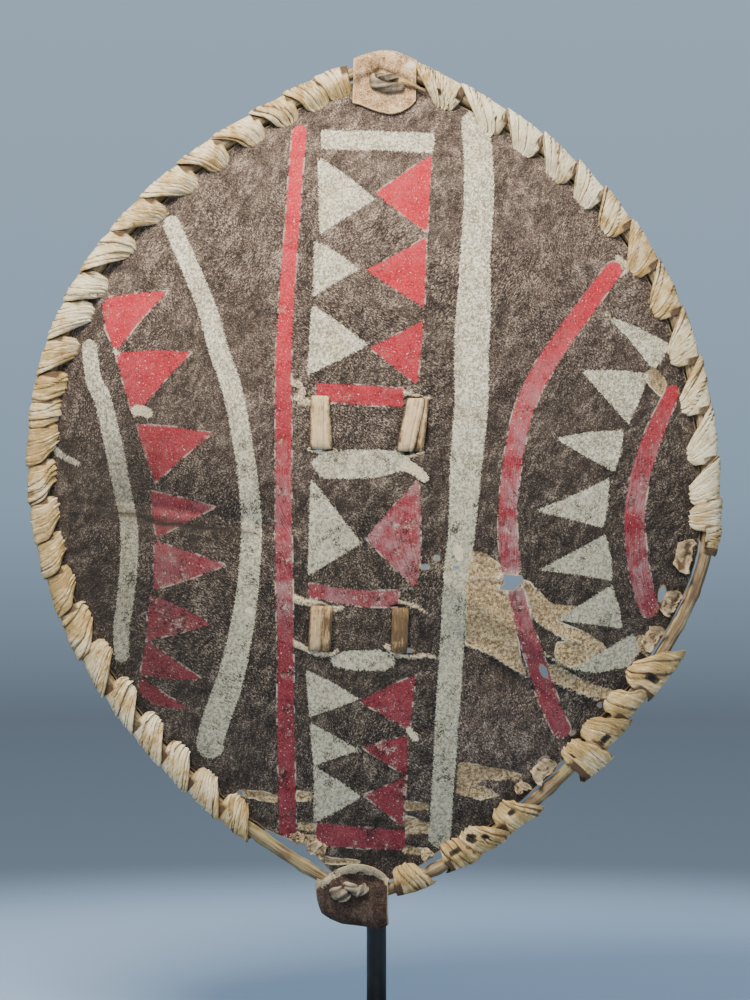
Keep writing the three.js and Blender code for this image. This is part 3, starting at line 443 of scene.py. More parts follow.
RAW_EDGES = [
    ([(-77, 97), (-71, 94), (-67, 87), (-70, 78), (-58, 79), (-40, 81)], [7, 5, 4]),
    ([(-73, 81), (-64, 75), (-57, 77)], [6, 4]),
    ([(-37, 77), (-26, 80), (-20, 79)], [4, 3]),
    ([(28, 87), (42, 85), (54, 81), (62, 82)], [5, 4, 3]),
    ([(-60, 30), (-50, 27), (-34, 29)], [4, 3]),
    ([(26, 27), (40, 23), (54, 27)], [4, 3]),
    ([(-77, -119), (-64, -123), (-50, -125), (-36, -130), (-27, -129)], [8, 6, 4]),
    ([(-77, -163), (-65, -169), (-52, -175), (-38, -175), (-33, -172)], [6, 5, 4]),
    ([(21, -122), (32, -124), (45, -127), (57, -134)], [6, 5, 3]),
    ([(17, -167), (28, -176), (44, -178), (56, -176), (70, -180)], [5, 4, 3]),
    ([(156, -113), (164, -138), (183, -152), (208, -164)], [3, 2]),
    ([(167, -169), (183, -180), (201, -190)], [3, 2]),
    ([(97, -99), (115, -99), (133, -101)], [3, 2.5]),
    ([(96, -165), (120, -175), (140, -187), (157, -198)], [3, 2]),
    ([(176, -199), (203, -211), (229, -221)], [3, 2]),
    ([(129, -98), (136, -94), (150, -98)], [4, 3]),
    ([(130, -109), (136, -113), (150, -111), (154, -102)], [4, 3]),
    ([(248, 221), (258, 211), (252, 203)], [6, 4]),
    ([(237, 166), (244, 157)], [4, 3]),
]
CREAM_SPOTS = [
    ([(-233, 69), (-226, 68), (-221, 65)], [11, 9]),
    ([(37, 13), (46, 9), (55, 1)], [12, 9]),
    ([(88, -70), (90, -78)], [10, 8]),
    ([(40, -251), (44, -259)], [7, 5]),
    ([(45, -256), (46, -260)], [6, 6]),
    ([(-255, 129), (-251, 123)], [5, 3]),
    ([(-121, -131), (-118, -135)], [7, 5]),
]
DARK_CREASES = [  # painted shade along the sharp bottom of a fold
    ([(-272, -31), (-248, -35), (-233, -36.5), (-212, -44), (-187, -46.5), (-150, -50.5), (-118, -54)],
     [0.8, 2.4, 2.9, 3.1, 2.8, 1.9, 0.4]),
]
DUST_PATCHES = [  # middle and share of the paler, dustier spots
    ((0.125, -0.05, 0.31), 0.82), ((0.205, -0.035, 0.8), 0.62), ((-0.116, -0.065, 0.605), 0.42),
]
SLITS = [  # where the grip straps go through the hide
    [(-61, 80), (-40, 80)], [(35, 81), (57, 80)], [(-60, 30), (-36, 29)], [(26, 26), (47, 25)],
    [(-61, -126), (-37, -127)], [(21, -126), (41, -126)], [(-62, -171), (-38, -171)],
    [(21, -171), (40, -171)],
]
HOLE_SHAPES = [  # the torn one, with its points
    [(134, -95), (152, -97), (154, -101), (150, -106), (144, -112), (139, -111), (130, -110), (131, -106),
     (136, -105), (134, -99)],
]
HOLES = [  # middle, half width, half height, turn in degrees
    (67, -79, 3.2, 3, 0),
    (55, -88, 4.5, 2.4, 0),
    (87, -88, 3, 2.2, 0),
    (174, -192, 3, 7, 25),
    (292.5, -115, 3.6, 8, -8),
    (230, -226, 2, 2.4, 0),
    (203, -254, 3, 2, 30),
    (174, -282, 6, 4, 35),
    (-152, -312, 2, 2, 0),
    (-129, -314, 3.2, 2.2, 0),
    (-50, 29, 4.5, 1.8, 0),
    (53, 79, 3.2, 2, 0),
    (-54, -170, 7, 2.6, 6),
    (35, -171, 8, 2.4, -4),
]
CREASES = [  # line, height, half width
    ([(-315, -21), (-275, -26), (-240, -33), (-215, -42), (-180, -46), (-140, -49), (-80, -51)], -2.2, 2.6),
    ([(-310, -29), (-240, -41), (-215, -51), (-140, -58)], 1.4, 3.5),
    ([(170, 187), (190, 199), (220, 213), (252, 229)], 1.1, 3.2),
    ([(96, -81), (130, -87), (170, -117), (230, -161)], 0.8, 3),
    ([(156, -113), (164, -138), (183, -152), (208, -164), (230, -173)], 1.4, 2),
    ([(167, -169), (183, -180), (201, -190), (220, -193)], 1.4, 2),
    ([(96, -165), (120, -175), (140, -187), (157, -198), (190, -221), (215, -227)], 1.6, 2.2),
    ([(176, -199), (203, -211), (229, -221)], 1.4, 2),
    ([(97, -99), (115, -99), (133, -101)], 1.3, 1.6),
    ([(97, -104), (115, -104), (133, -105)], -0.9, 1.6),
    ([(90, -221), (110, -241), (150, -261)], -0.8, 3),
    ([(85, -241), (130, -279), (170, -291)], 0.9, 3),
    ([(82, -311), (110, -322), (130, -318)], 1.3, 2),
    ([(-35, -114), (-29, -119), (-23, -124)], -1.4, 1.2),
    ([(16, 34), (20, 28)], -1.4, 1.2),
    ([(-70, -33), (-40, -37), (-18, -33)], -0.5, 2),
    ([(190, 9), (230, -21), (270, -81)], -0.6, 5),
    ([(-280, -81), (-250, -121), (-220, -181)], 0.5, 6),
    ([(270, 149), (298, 119), (314, 79)], 0.6, 5),
]


def seen(points):
    """Where a point of shield space appears from 3 m in front, in upright mm about the shield's middle."""
    p = np.asarray(points, float)
    x, z = upright(p[..., 0], p[..., 2])
    grow = VIEW_DISTANCE / (VIEW_DISTANCE + p[..., 1])
    return VIEW_AXIS[0] + (x - VIEW_AXIS[0]) * grow, VIEW_AXIS[1] + (z - VIEW_AXIS[1]) * grow


# ------------------------------------------------------------------ the hide's surface
def fold(x, z, a, b, height, half_width):
    dx, dz = b[0] - a[0], b[1] - a[1]
    length = math.hypot(dx, dz)
    along = ((x - a[0]) * dx + (z - a[1]) * dz) / length**2
    off = np.abs((x - a[0]) * dz - (z - a[1]) * dx) / length
    ends = smoothstep(along, -0.12, 0.12) * (1 - smoothstep(along, 0.88, 1.12))
    return height * ends * np.exp(-off / half_width)


def hide_front(x, z):
    """Depth of the hide's front face, as the solid has it."""
    share = share_out(x, z)
    calm = 1 - smoothstep(share, 0.74, 0.9)
    folds = sum(fold(x, z, *values) for values in FOLDS)
    return sweep(z) - DOME * (1 - np.minimum(share, 1.08) ** 2.2) - folds * calm


def hide_inset(side, s):
    if side == "left":
        return HIDE_INSET + 9 * bump(s, 1085, 45)
    return HIDE_INSET - 0.9 * bump(s, 715, 110) + 5 * bump(s, 1078, 60) + 3 * bump(s, 880, 60)


def hide_height(side, s, q):
    """How far the hide's front stands before the hoop's centreline, q outwards from it."""
    p, out = RIM[side].at(s)
    return sweep(p[..., 1]) - hide_front(p[..., 0] + out[..., 0] * q, p[..., 1] + out[..., 1] * q)


def union(depths):
    return np.maximum.reduce(list(depths))


def paint_depth(x, z, strokes=(), shapes=()):
    """How deep inside any of the strokes and shapes a place is."""
    return union([stroke_depth(x, z, *s) for s in strokes] + [polygon_depth(x, z, s) for s in shapes])


def ellipse_depth(x, z, spec):
    cx, cz, half_x, half_z, turn = spec
    a = math.radians(turn)
    u = ((x - cx) * math.cos(a) + (z - cz) * math.sin(a)) / half_x
    v = ((z - cz) * math.cos(a) - (x - cx) * math.sin(a)) / half_z
    return (1 - np.hypot(u, v)) * min(half_x, half_z)


def open_at(x, z):
    """How far inside a hole of the hide a place is."""
    return union([ellipse_depth(x, z, hole) for hole in HOLES]
                 + [polygon_depth(x, z, p) for p in HOLE_SHAPES])


# ------------------------------------------------------------------ mesh making
def in_scene(name, data):
    """A new object with this data, linked to the scene."""
    obj = bpy.data.objects.new(name, data)
    bpy.context.scene.collection.objects.link(obj)
    return obj


def add_object(name, points, faces, material, attributes=None, sharp=50.0):
    """points are in the frame, in metres; faces are index tuples."""
    mesh = bpy.data.meshes.new(name)
    mesh.from_pydata(np.asarray(points).tolist(), [], [tuple(int(i) for i in f) for f in faces])
    for key, values in (attributes or {}).items():
        values = np.asarray(values, np.float32)
        kind = "FLOAT" if values.ndim == 1 else "FLOAT_VECTOR"
        layer = mesh.attributes.new(key, kind, "POINT")
        layer.data.foreach_set("value" if kind == "FLOAT" else "vector", values.ravel())
    mesh.validate()
    bm = bmesh.new()
    bm.from_mesh(mesh)
    bmesh.ops.recalc_face_normals(bm, faces=bm.faces)
    bm.to_mesh(mesh)
    bm.free()
    mesh.shade_smooth()
    mesh.set_sharp_from_angle(angle=math.radians(sharp))
    mesh.materials.append(material)
    obj = in_scene(name, mesh)
    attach(obj, "root")
    return obj


def surface_normals(grid):
    du, dv = np.gradient(grid, axis=0), np.gradient(grid, axis=1)
    n = np.cross(du, dv)
    return n / np.maximum(np.linalg.norm(n, axis=-1, keepdims=True), 1e-9)


def grid_quads(index):
    return np.stack([index[:-1, :-1], index[:-1, 1:], index[1:, 1:], index[1:, :-1]], -1).reshape(-1, 4)


def slab(front, back):
    """Points and faces of the closed solid between two grids with the same layout."""
    rows, columns = front.shape[:2]
    index = np.arange(rows * columns).reshape(rows, columns)
    quads = grid_quads(index)
    loop = np.r_[index[0, :-1], index[:-1, -1], index[-1, :0:-1], index[:0:-1, 0]]
    after = np.roll(loop, -1)
    offset = rows * columns
    walls = np.stack([after, loop, loop + offset, after + offset], -1)
    points = np.vstack([front.reshape(-1, 3), back.reshape(-1, 3)])
    return points, np.vstack([quads, quads[:, ::-1] + offset, walls])


def rings(grid, closed=False):
    """Points and faces of a tube through rings; its ends are capped unless it closes on itself."""
    count, sides = grid.shape[:2]
    index = np.arange(count * sides).reshape(count, sides)
    here = index if closed else index[:-1]
    there = np.roll(index, -1, axis=0) if closed else index[1:]
    quads = np.stack([here, np.roll(here, -1, 1), np.roll(there, -1, 1), there], -1).reshape(-1, 4)
    faces = [tuple(q) for q in quads]
    if not closed:
        faces += [tuple(index[0, ::-1]), tuple(index[-1])]
    return grid.reshape(-1, 3), faces


def tube_grid(path, radius, sides, closed=False):
    """Rings of a round cord; radius is one number or one for each point of the path."""
    path = np.asarray(path, float)
    if closed:
        tangent = np.roll(path, -1, 0) - np.roll(path, 1, 0)
    else:
        tangent = np.gradient(path, axis=0)
    tangent /= np.linalg.norm(tangent, axis=1, keepdims=True)
    side = np.array([0.0, 1.0, 0.0]) if abs(tangent[0][1]) < 0.9 else np.array([0.0, 0.0, 1.0])
    angle = (np.arange(sides) + 0.5) * 2 * math.pi / sides
    radius = np.broadcast_to(radius, len(path))
    grid = []
    for p, t, r in zip(path, tangent, radius):
        side = side - t * (side @ t)
        side /= np.linalg.norm(side)
        other = np.cross(t, side)
        grid.append(p + r * (np.outer(np.cos(angle), side) + np.outer(np.sin(angle), other)))
    return np.array(grid)


def swollen(grid, path, share):
    """Rings grown by a share of their radius."""
    centre = path[:, None, :]
    return centre + (grid - centre) * (1 + share)[..., None]


def merged(*parts):
    """Several (points, faces) pairs as one."""
    points, faces, start = [], [], 0
    for part_points, part_faces in parts:
        points.append(np.asarray(part_points).reshape(-1, 3))
        faces += [tuple(int(i) + start for i in f) for f in part_faces]
        start += len(points[-1])
    return np.vstack(points), faces


# ------------------------------------------------------------------ the hide
def hide_outline():
    """The hide's ragged edge, in shield space x and z."""
    line = []
    for name, way, seed in (("left", 1, 11), ("right", -1, 23)):
        side = RIM[name]
        s = np.linspace(0.004, 0.996, 620) * side.length
        bare = smoothstep(s, 1015, 1035) if name == "left" else smoothstep(s, 640, 660)
        if name == "right":
            bare = bare * (1 - bump(s, 715, 110))
        ragged = fractal(s / 16, 0.5, seed) * (0.5 + 1.9 * bare) + fractal(s / 4.5, 2.5, seed + 3) * 0.5
        p, out = side.at(s)
        edge = p - out * (hide_inset(name, s) + ragged)[:, None]
        line.append(edge[::way])
    return np.vstack(line)


def hide_grid(outline):
    """Points and faces of a grid over the hide, snapped to its edge and to the edges of its holes."""
    xs, zs = np.arange(-333, 337, HIDE_STEP), np.arange(-419, 420, HIDE_STEP)
    x, z = np.meshgrid(xs, zs, indexing="xy")
    dx, dz = seen(stacked(x, hide_front(x, z), z))
    depth = np.minimum(polygon_depth(x, z, outline), -(open_at(dx, dz) + fractal(dx / 4, dz / 4, 5) * 0.9))
    gz, gx = np.gradient(depth, HIDE_STEP)
    size = np.maximum(gx**2 + gz**2, 0.2)
    near = np.abs(depth) < 0.56 * HIDE_STEP
    shift = np.where(near, depth, 0) / size
    x, z = x - gx * shift, z - gz * shift
    depth = np.where(near, 0, depth)

    keep = depth >= 0
    rows, columns = depth.shape
    index = np.arange(rows * columns).reshape(rows, columns)
    corners = grid_quads(index)
    inside = keep.ravel()[corners]
    deep = depth.ravel()[corners]
    faces = [tuple(c) for c in corners[inside.all(1) & (deep.max(1) > 0)]]
    three = (inside.sum(1) == 3) & (deep.max(1) > 0)
    faces += [tuple(c[k]) for c, k in zip(corners[three], inside[three])]

    used = np.unique(np.concatenate([np.asarray(f) for f in faces]))
    number = np.full(rows * columns, -1)
    number[used] = np.arange(len(used))
    faces = [tuple(number[list(f)]) for f in faces]
    return x.ravel()[used], z.ravel()[used], faces


def make_hide():
    outline = hide_outline()
    x, z, faces = hide_grid(outline)
    base = hide_front(x, z)
    dx, dz = seen(stacked(x, base, z))
    wobble = fractal(dx / 9, dz / 9, 41) * 1.2 + fractal(dx / 3.5, dz / 3.5, 43) * 0.8
    red = paint_depth(dx, dz, RED_STROKES, RED_SHAPES)
    white = paint_depth(dx, dz, WHITE_STROKES, WHITE_SHAPES)
    cream = paint_depth(dx, dz, CREAM_SPOTS)
    worn = paint_depth(dx, dz, (), WORN_SHAPES) + wobble
    raw = paint_depth(dx, dz, RAW_EDGES) + wobble * 0.6
    crease_shadow = paint_depth(dx, dz, DARK_CREASES)
    edge = np.minimum(polygon_depth(x, z, outline), -open_at(dx, dz))

    share = share_out(x, z)
    relief = 1.3 * fractal(dx / 75, dz / 75, 61) * (1 - smoothstep(share, 0.8, 0.95))
    relief += 0.35 * fractal(dx / 18, dz / 18, 63) + 0.22 * fractal(dx / 7, dz / 7, 65)
    for points, height, half_width in CREASES:
        off, where = path_distance(dx, dz, curve(points))
        ends = smoothstep(where, 0, 0.12) * (1 - smoothstep(where, 0.88, 1))
        relief += height * ends * np.exp(-((off / half_width) ** 2))
    relief -= 0.7 * smoothstep(worn, -1, 1.2)
    slit = paint_depth(dx, dz, [(line, [3.2, 5.2, 3.2]) for line in SLITS])
    relief -= 1.3 * smoothstep(slit, -0.5, 1.5)
    relief += 1.5 * smoothstep(raw, -1.0, 1.6)
    relief += 0.5 * (1 - smoothstep(edge, 0, 4)) * (0.6 + fractal(dx / 6, dz / 6, 71))
    front = stacked(x, base - relief, z)
    thick = HIDE_THICKNESS - 0.7 * smoothstep(worn, -1, 1.2) - 0.8 * (1 - smoothstep(edge, 0, 3))
    back = front + stacked(0, thick, 0)
    back[:, 1] += 0.35 * fractal(dx / 5, dz / 5, 77)

    count = len(x)
    edges = {}
    for f in faces:
        for a, b in zip(f, f[1:] + f[:1]):
            edges[(a, b)] = True
    rim = [(a, b) for a, b in edges if (b, a) not in edges]
    solid = faces + [tuple(i + count for i in f[::-1]) for f in faces]
    solid += [(b, a, a + count, b + count) for a, b in rim]

    lean = fractal(dx / 150, dz / 150, 81, 2)
    nap = stacked(dx + 46 * lean, dz, 0)
    layers = {"white": white, "red": red, "cream": cream, "worn": worn, "raw": raw, "edge": edge,
              "slit": slit, "crease_shadow": crease_shadow, "height": dz, "nap": nap}
    attributes = {key: np.concatenate([values, values]) for key, values in layers.items()}
    attributes["back"] = np.repeat([0.0, 1.0], count)
    piece = add_object("hide", to_frame(np.vstack([front, back])), solid, hide_material(),
                       attributes, 55)
    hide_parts("hide_panel")


# ------------------------------------------------------------------ lashing
def lash_path(side, s, outer, near):
    """One turn seen along the rim: reach outwards, height over the hoop, and the way its outside faces."""
    def hide_at(q, pick=max):
        return pick(float(hide_height(side, s + off, q)) for off in (-12, 0, 12))

    lift = 1.6
    return [
        (-near, hide_at(-near) - HIDE_THICKNESS / 2, -1, 0.1),
        (-near + 3.5, max(hide_at(-near + 3.5) + lift, 5), -0.5, 0.85),
        (-3, 9.5, 0, 1),
        (outer, 5, 0.8, 0.5),
        (outer, -5, 0.8, -0.5),
        (-3, -9.5, 0, -1),
        (-near + 4, min(hide_at(-near + 4, min) - HIDE_THICKNESS - lift - 0.8, -2), -0.5, -0.85),
    ]


def lash_stations(side, edges, torn, short_end, flare):
    """Rows of (s, q, f, nq, nf, half width, turn, share from slit width to full width)."""
    turns = []
    for i, (low, high) in enumerate(zip(edges[:-1], edges[1:])):
        is_open = side == "left" and i < OPEN_TURNS
        shift = (OPEN_SHIFT if is_open else LASH_SHIFT) + 2.5 * float(noise(i * 1.7 + 0.3, 4.1, 17))
        inner = low + shift if side == "left" else high - shift
        turns.append((i, low, high, inner, LASH_REACH + (flare[i] if i < len(flare) else 0)))
    if side == "right":
        turns.reverse()
    rows = []
    for k, (i, low, high, inner, outer) in enumerate(turns):
        pitch = high - low
        step = (pitch if side == "left" else -pitch) * short_end
        last = k == len(turns) - 1
        after = inner + step if last else turns[k + 1][3]
        half_full = pitch / 2 + LASH_LAP
        half_slit = min(SLIT_WIDTH / 2, half_full)
        path = lash_path(side, inner, outer, SHORT_TURNS.get(i, SLIT) if side == "left" else SLIT)
        start = 2 if torn == "start" and k == 0 else 0
        stop = 5 if torn == "end" and last else 7
        fans = list(LASH_FAN)
        if side == "left" and i < OPEN_TURNS:
            fans[2] = OPEN_FAN
        if side == "left" and i in SHORT_TURNS:
            fans[1:3] = SHORT_FANS
        for j in range(start, stop):
            slit_side = inner if j <= 3 else after
            skew = LASH_SKEW if side == "left" else -0.4 * LASH_SKEW
            centre = lerp(slit_side, (low + high) / 2 + skew, fans[j])
            rows.append((centre, *path[j], lerp(half_slit, half_full, fans[j]), i, fans[j]))
        if last and torn != "end":
            rows.append((after, *path[0], half_slit, i, 0))
    return np.array(rows)


def lash_folds(styles, turn, fan, row, v, lap, seed):
    """Height of the folds and depth of the creases; they gather at the slit and open outwards."""
    height, crease = np.zeros((2, len(row), v.size))
    for i in np.unique(turn):
        mine = turn == i
        number = max(2, int(round(styles[i][0])))
        rng = np.random.default_rng(seed + 31 * int(i))
        facing_way = 1 if rng.random() < 0.6 else -1
        share, line = fan[mine], row[mine]
        for k in range(number):
            place = -1 + 2 * (k + 0.5 + rng.uniform(-0.42, 0.42)) / number
            tall, wide = rng.uniform(0.55, 1.0), rng.uniform(1.1, 2.1) / number
            pull = rng.uniform(0.15, 0.60) * (lap - place) * share ** 1.4
            wander = 0.12 * noise(line * 0.9, k + 0.5 + 7.0 * i, seed + 4)
            u = (v - place - pull - wander) / wide * facing_way
            along = 0.78 + 0.42 * noise(line * 0.6 + 3.1 * k, i + 0.5, seed + 6)
            ridge = np.where(u > 0, np.clip(1 - u, 0, 1) ** 1.3, np.exp(-((u / 0.09) ** 2)))
            height[mine] = np.maximum(height[mine], tall * along * ridge)
            crease[mine] = np.maximum(crease[mine], along * tall ** 0.5 * np.exp(-(((u + 0.16) / 0.13) ** 2)))
    return height, crease


def make_lashing(name, side, edges, styles, torn="", short_end=1.0, flare=(), gold=None, ragged=1.0, pits=(),
                 seed=0):
    """styles gives each turn (folds, their depth, roundness, tone); gold the turns with a golden band."""
    gold = gold or {}
    stations = lash_stations(side, edges, torn, short_end, flare)
    rows = curve(stations, LASH_STEPS)
    s, q, f, nq, nf, half, _, fan = (c[:, None] for c in rows.T)
    order = np.repeat(stations[:, 6], LASH_STEPS)[: len(rows) - 1]
    turn = np.r_[order, order[-1]].astype(int)
    style = np.array(styles, float)[turn]
    blur = np.hanning(7) / np.hanning(7).sum()
    style = np.stack([np.convolve(np.pad(c, 3, "edge"), blur, "valid") for c in style.T[1:]], 1)
    deep, roundness, tone = (c[:, None] for c in style.T)
    fan = np.clip(fan, 0, 1)
    v = np.linspace(-1, 1, LASH_COLUMNS)[None, :]
    row = np.arange(len(rows))[:, None] / LASH_STEPS
    lane = turn[:, None]
    lap = 1 if side == "left" else -1  # the edge at v = lap lies on its neighbour
    fray = 0.9 * fractal(row * 0.9, v * 0.5 + 7, seed + 5) + 0.45 * ragged * fractal(row * 3, v + 3, seed + 8)
    waist = 1 - 0.22 * np.exp(-(((q + SLIT) / 2.4) ** 2))
    tip = 2.4 * smoothstep(fan, 0.45, 1) * smoothstep(lap * v, 0.55, 1)
    at = s + half * v * waist + ragged * fray * np.abs(v) ** 4 * (0.4 + fan) + lap * tip
    _, out = RIM[side].at(at)

    height, crease = lash_folds(styles, turn, fan, row, v, lap, seed)
    pit = np.zeros(at.shape)
    gather = deep * (2.7 - 1.3 * fan)
    fine = 0.22 * fractal(v * half / 1.5, row * 0.7, seed + 12)
    lift = gather * height - 0.5 * crease * (1.3 - fan) + fine
    lift += roundness * 3.0 * (1 - v**2) * (0.35 + 0.65 * (1 - fan))
    lift += 0.9 * noise(v * 1.2 + 3 * lane, row * 0.8, seed + 14) * fan
    lift += 1.7 * lap * v * fan - 0.9 * np.abs(v) ** 6 * (1 - 0.7 * fan)
    under = (1 + lap * v) * half  # distance from the edge that its neighbour covers
    # painted shade where the neighbour's edge lies over this turn
    shade_under_edge = smoothstep(fan, 0.35, 0.8) * smoothstep(under, 2 * LASH_LAP + 3.4, 2 * LASH_LAP + 0.8)
    for pit_s, pit_q, half_s, half_q in pits:
        near = ((at - pit_s) / half_s) ** 2 + ((q - pit_q) / half_q) ** 2
        near = near + 0.8 * fractal(at / 2, row, seed + 30)
        pit = np.maximum(pit, smoothstep(near, 1.3, 0.6) * (nf > -0.2))
    lift -= 1.6 * pit
    # the fold value marks where painted shade goes: creases, under the neighbour's edge and in the pits
    fold_height = 1 - np.maximum(np.maximum(crease, shade_under_edge), 2.2 * pit)
    middle = rim_point(side, at, q + nq * lift, f + nf * lift)
    normal = surface_normals(middle)
    facing = stacked(out[..., 0] * nq, -nf, out[..., 1] * nq)
    if (normal * facing).sum() < 0:
        normal = -normal
    thick = 0.55 * (1 - 0.45 * np.abs(v) ** 8)[..., None]
    points, faces = slab(middle + normal * thick, middle - normal * thick)
    grain = stacked(run_length(middle[:, LASH_COLUMNS // 2])[:, None], half * v + 31.7 * lane,
                    lane).reshape(-1, 3)
    tones = np.clip(tone + 0.16 * noise(v * 0.8 + lane * 3.1, row * 0.35, seed + 21), 0, 1)
    golden = np.array([gold.get(i, 0.0) for i in turn])[:, None] * smoothstep(v, 0.42, 0.5)
    layers = {"fold": fold_height, "edge": (1 - np.abs(v)) * half, "tone": tones, "gold": golden, "pit": pit}
    attributes = {key: both_faces(values, at.shape) for key, values in layers.items()}
    attributes["grain"] = np.vstack([grain, grain])
    piece = add_object(name, to_frame(points), faces, LASHING, attributes, 60)
    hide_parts(name.replace("wrap", "lashing"))


def make_remnant(number, side, start, end, outer, inner, curl, seed):
    """A torn end of lashing that is still held by its slit: cupped, with a rolled lip and a ragged end."""
    s, half = (start + end) / 2, (end - start) / 2

    def hide_at(q, pick=max):
        return pick(float(hide_height(side, at, q)) for at in (start, s, end))

    lift = 1.5
    back = HIDE_THICKNESS + lift + 0.5
    middle_q = -(outer + inner) / 2
    stations = np.array([
        (-outer + 1.5, hide_at(-outer) + lift + 1.0 + curl * 1.3, half * 0.96, 0.6, 0.8),
        (-outer - 2.0, hide_at(-outer) + lift + 2.2 + curl * 0.5, half, 0.2, 1),
        (middle_q, hide_at(middle_q) + lift + 1.4, half * 0.94, 0, 1),
        (-inner + 2.5, hide_at(-inner + 2.5) + lift, half * 0.74, -0.2, 1),
        (-inner, hide_at(-inner) - HIDE_THICKNESS / 2, half * 0.62, -1, 0.1),
        (-inner + 3, hide_at(-inner + 3, min) - back, half * 0.6, -0.2, -1),
        (-inner + 12, hide_at(-inner + 12, min) - back - 0.5, half * 0.6, 0, -1),
    ])
    rows = curve(stations, 6)
    q, f, wide, nq, nf = (c[:, None] for c in rows.T)
    v = np.linspace(-1, 1, 34)[None, :]
    r = np.arange(len(rows))[:, None] / 6.0
    near_end = np.clip(1 - r / 1.6, 0, 1)
    torn = (0.5 + 0.5 * fractal(v * 2.6, 0.3 + seed, seed)) * 7.0 * near_end
    torn = torn + 1.2 * fractal(v * 9, 0.7 + seed, seed + 1) * near_end
    lift_up = 1.3 * fractal(v * 1.9, r * 0.7, seed + 3) + 0.8 * fractal(v * 4.2, r * 1.6, seed + 4)
    front_side = np.clip(1 - (r - 2.2) / 1.2, 0, 1)
    lift_up = lift_up + curl * 1.25 * v**2 * front_side * (1 + 0.5 * np.sin(seed + 2 * v))
    lift_up = np.maximum(lift_up, -0.9)
    sway = 2.2 * fractal(r * 0.9, v * 0.6 + 9, seed + 6) * (1 - v**2 * 0.3)
    at = s + wide * v * (1 - 0.10 * v**2 * near_end) + sway
    middle = rim_point(side, at, q - torn + nq * lift_up, f + nf * lift_up)
    normal = surface_normals(middle)
    points, faces = slab(middle + normal * 0.6, middle - normal * 0.6)
    grain = stacked(r * 9, wide * v, seed).reshape(-1, 3)
    # painted shade in the hollows of the cupped end, laid on through the fold value
    hollow = 1.25 * fractal(v * 2.3 + 0.4, r * 1.1, seed + 9)
    edge = wide * (1 - np.abs(v)) + 2 * np.clip(r - 0.3, 0, 1)
    attributes = {
        "grain": np.vstack([grain, grain]), "fold": both_faces(np.clip(0.85 + hollow, 0, 1), at.shape),
        "edge": both_faces(edge, at.shape), "tone": np.full(2 * at.size, 0.35),
    }
    piece = add_object(f"torn_end_{number}", to_frame(points), faces, TAN_RAWHIDE,
                       attributes, 60)
    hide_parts(f"remnant_{number}")


# ------------------------------------------------------------------ hoop
def make_hoop():
    path, places = [], []
    for name, way in (("left", 1), ("right", -1)):
        side = RIM[name]
        s = np.linspace(*(0, side.length)[::way], 300)[:-1]
        p, _ = side.at(s)
        path.append(stacked(p[:, 0], sweep(p[:, 1]), p[:, 1]))
        places.append(s + (0 if way > 0 else 3000))
    path, places = np.vstack(path), np.concatenate(places)
    # knots of the stick, by place; the right side's places start at 3000
    knots = sum(0.9 * bump(places, at, 9) for at in (1045, 1096, 3705, 3955, 3742, 4098))
    radius = HOOP_RADIUS - 0.3 + 0.3 * fractal(places / 22, 0.5, 91) + knots
    sides = 22
    grid = tube_grid(path, radius, sides, closed=True)
    turn = np.arange(sides)[None, :] * 2 * math.pi / sides
    ridge = 0.25 * np.cos(turn * 3 + fractal(places / 60, 4, 92)[:, None] * 3)
    points, faces = rings(swollen(grid, path, ridge / HOOP_RADIUS), closed=True)
    seam = stacked(places[:, None], np.cos(turn) * HOOP_RADIUS, np.sin(turn) * HOOP_RADIUS)
    green = bump(places, 3000 + 945, 70) + bump(places, 1062, 50)
    attributes = {"grain": seam.reshape(-1, 3), "green": np.repeat(green, sides)}
    piece = add_object("hoop", to_frame(points), faces, hoop_material(), attributes, 60)
    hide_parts("rim_hoop")


# ------------------------------------------------------------------ patches over the tips
def tip_hoop(end, x):
    """The hoop's height above or below the middle near a tip, and how much its slope stretches it."""
    side = RIM["left" if x < 0 else "right"]
    mask = np.sign(side.p[:, 1]) == end
    near = np.argmin(np.abs(side.p[mask][:, 0] - x))
    return abs(side.p[mask][near, 1]), 1 / abs(side.out[mask][near, 1])


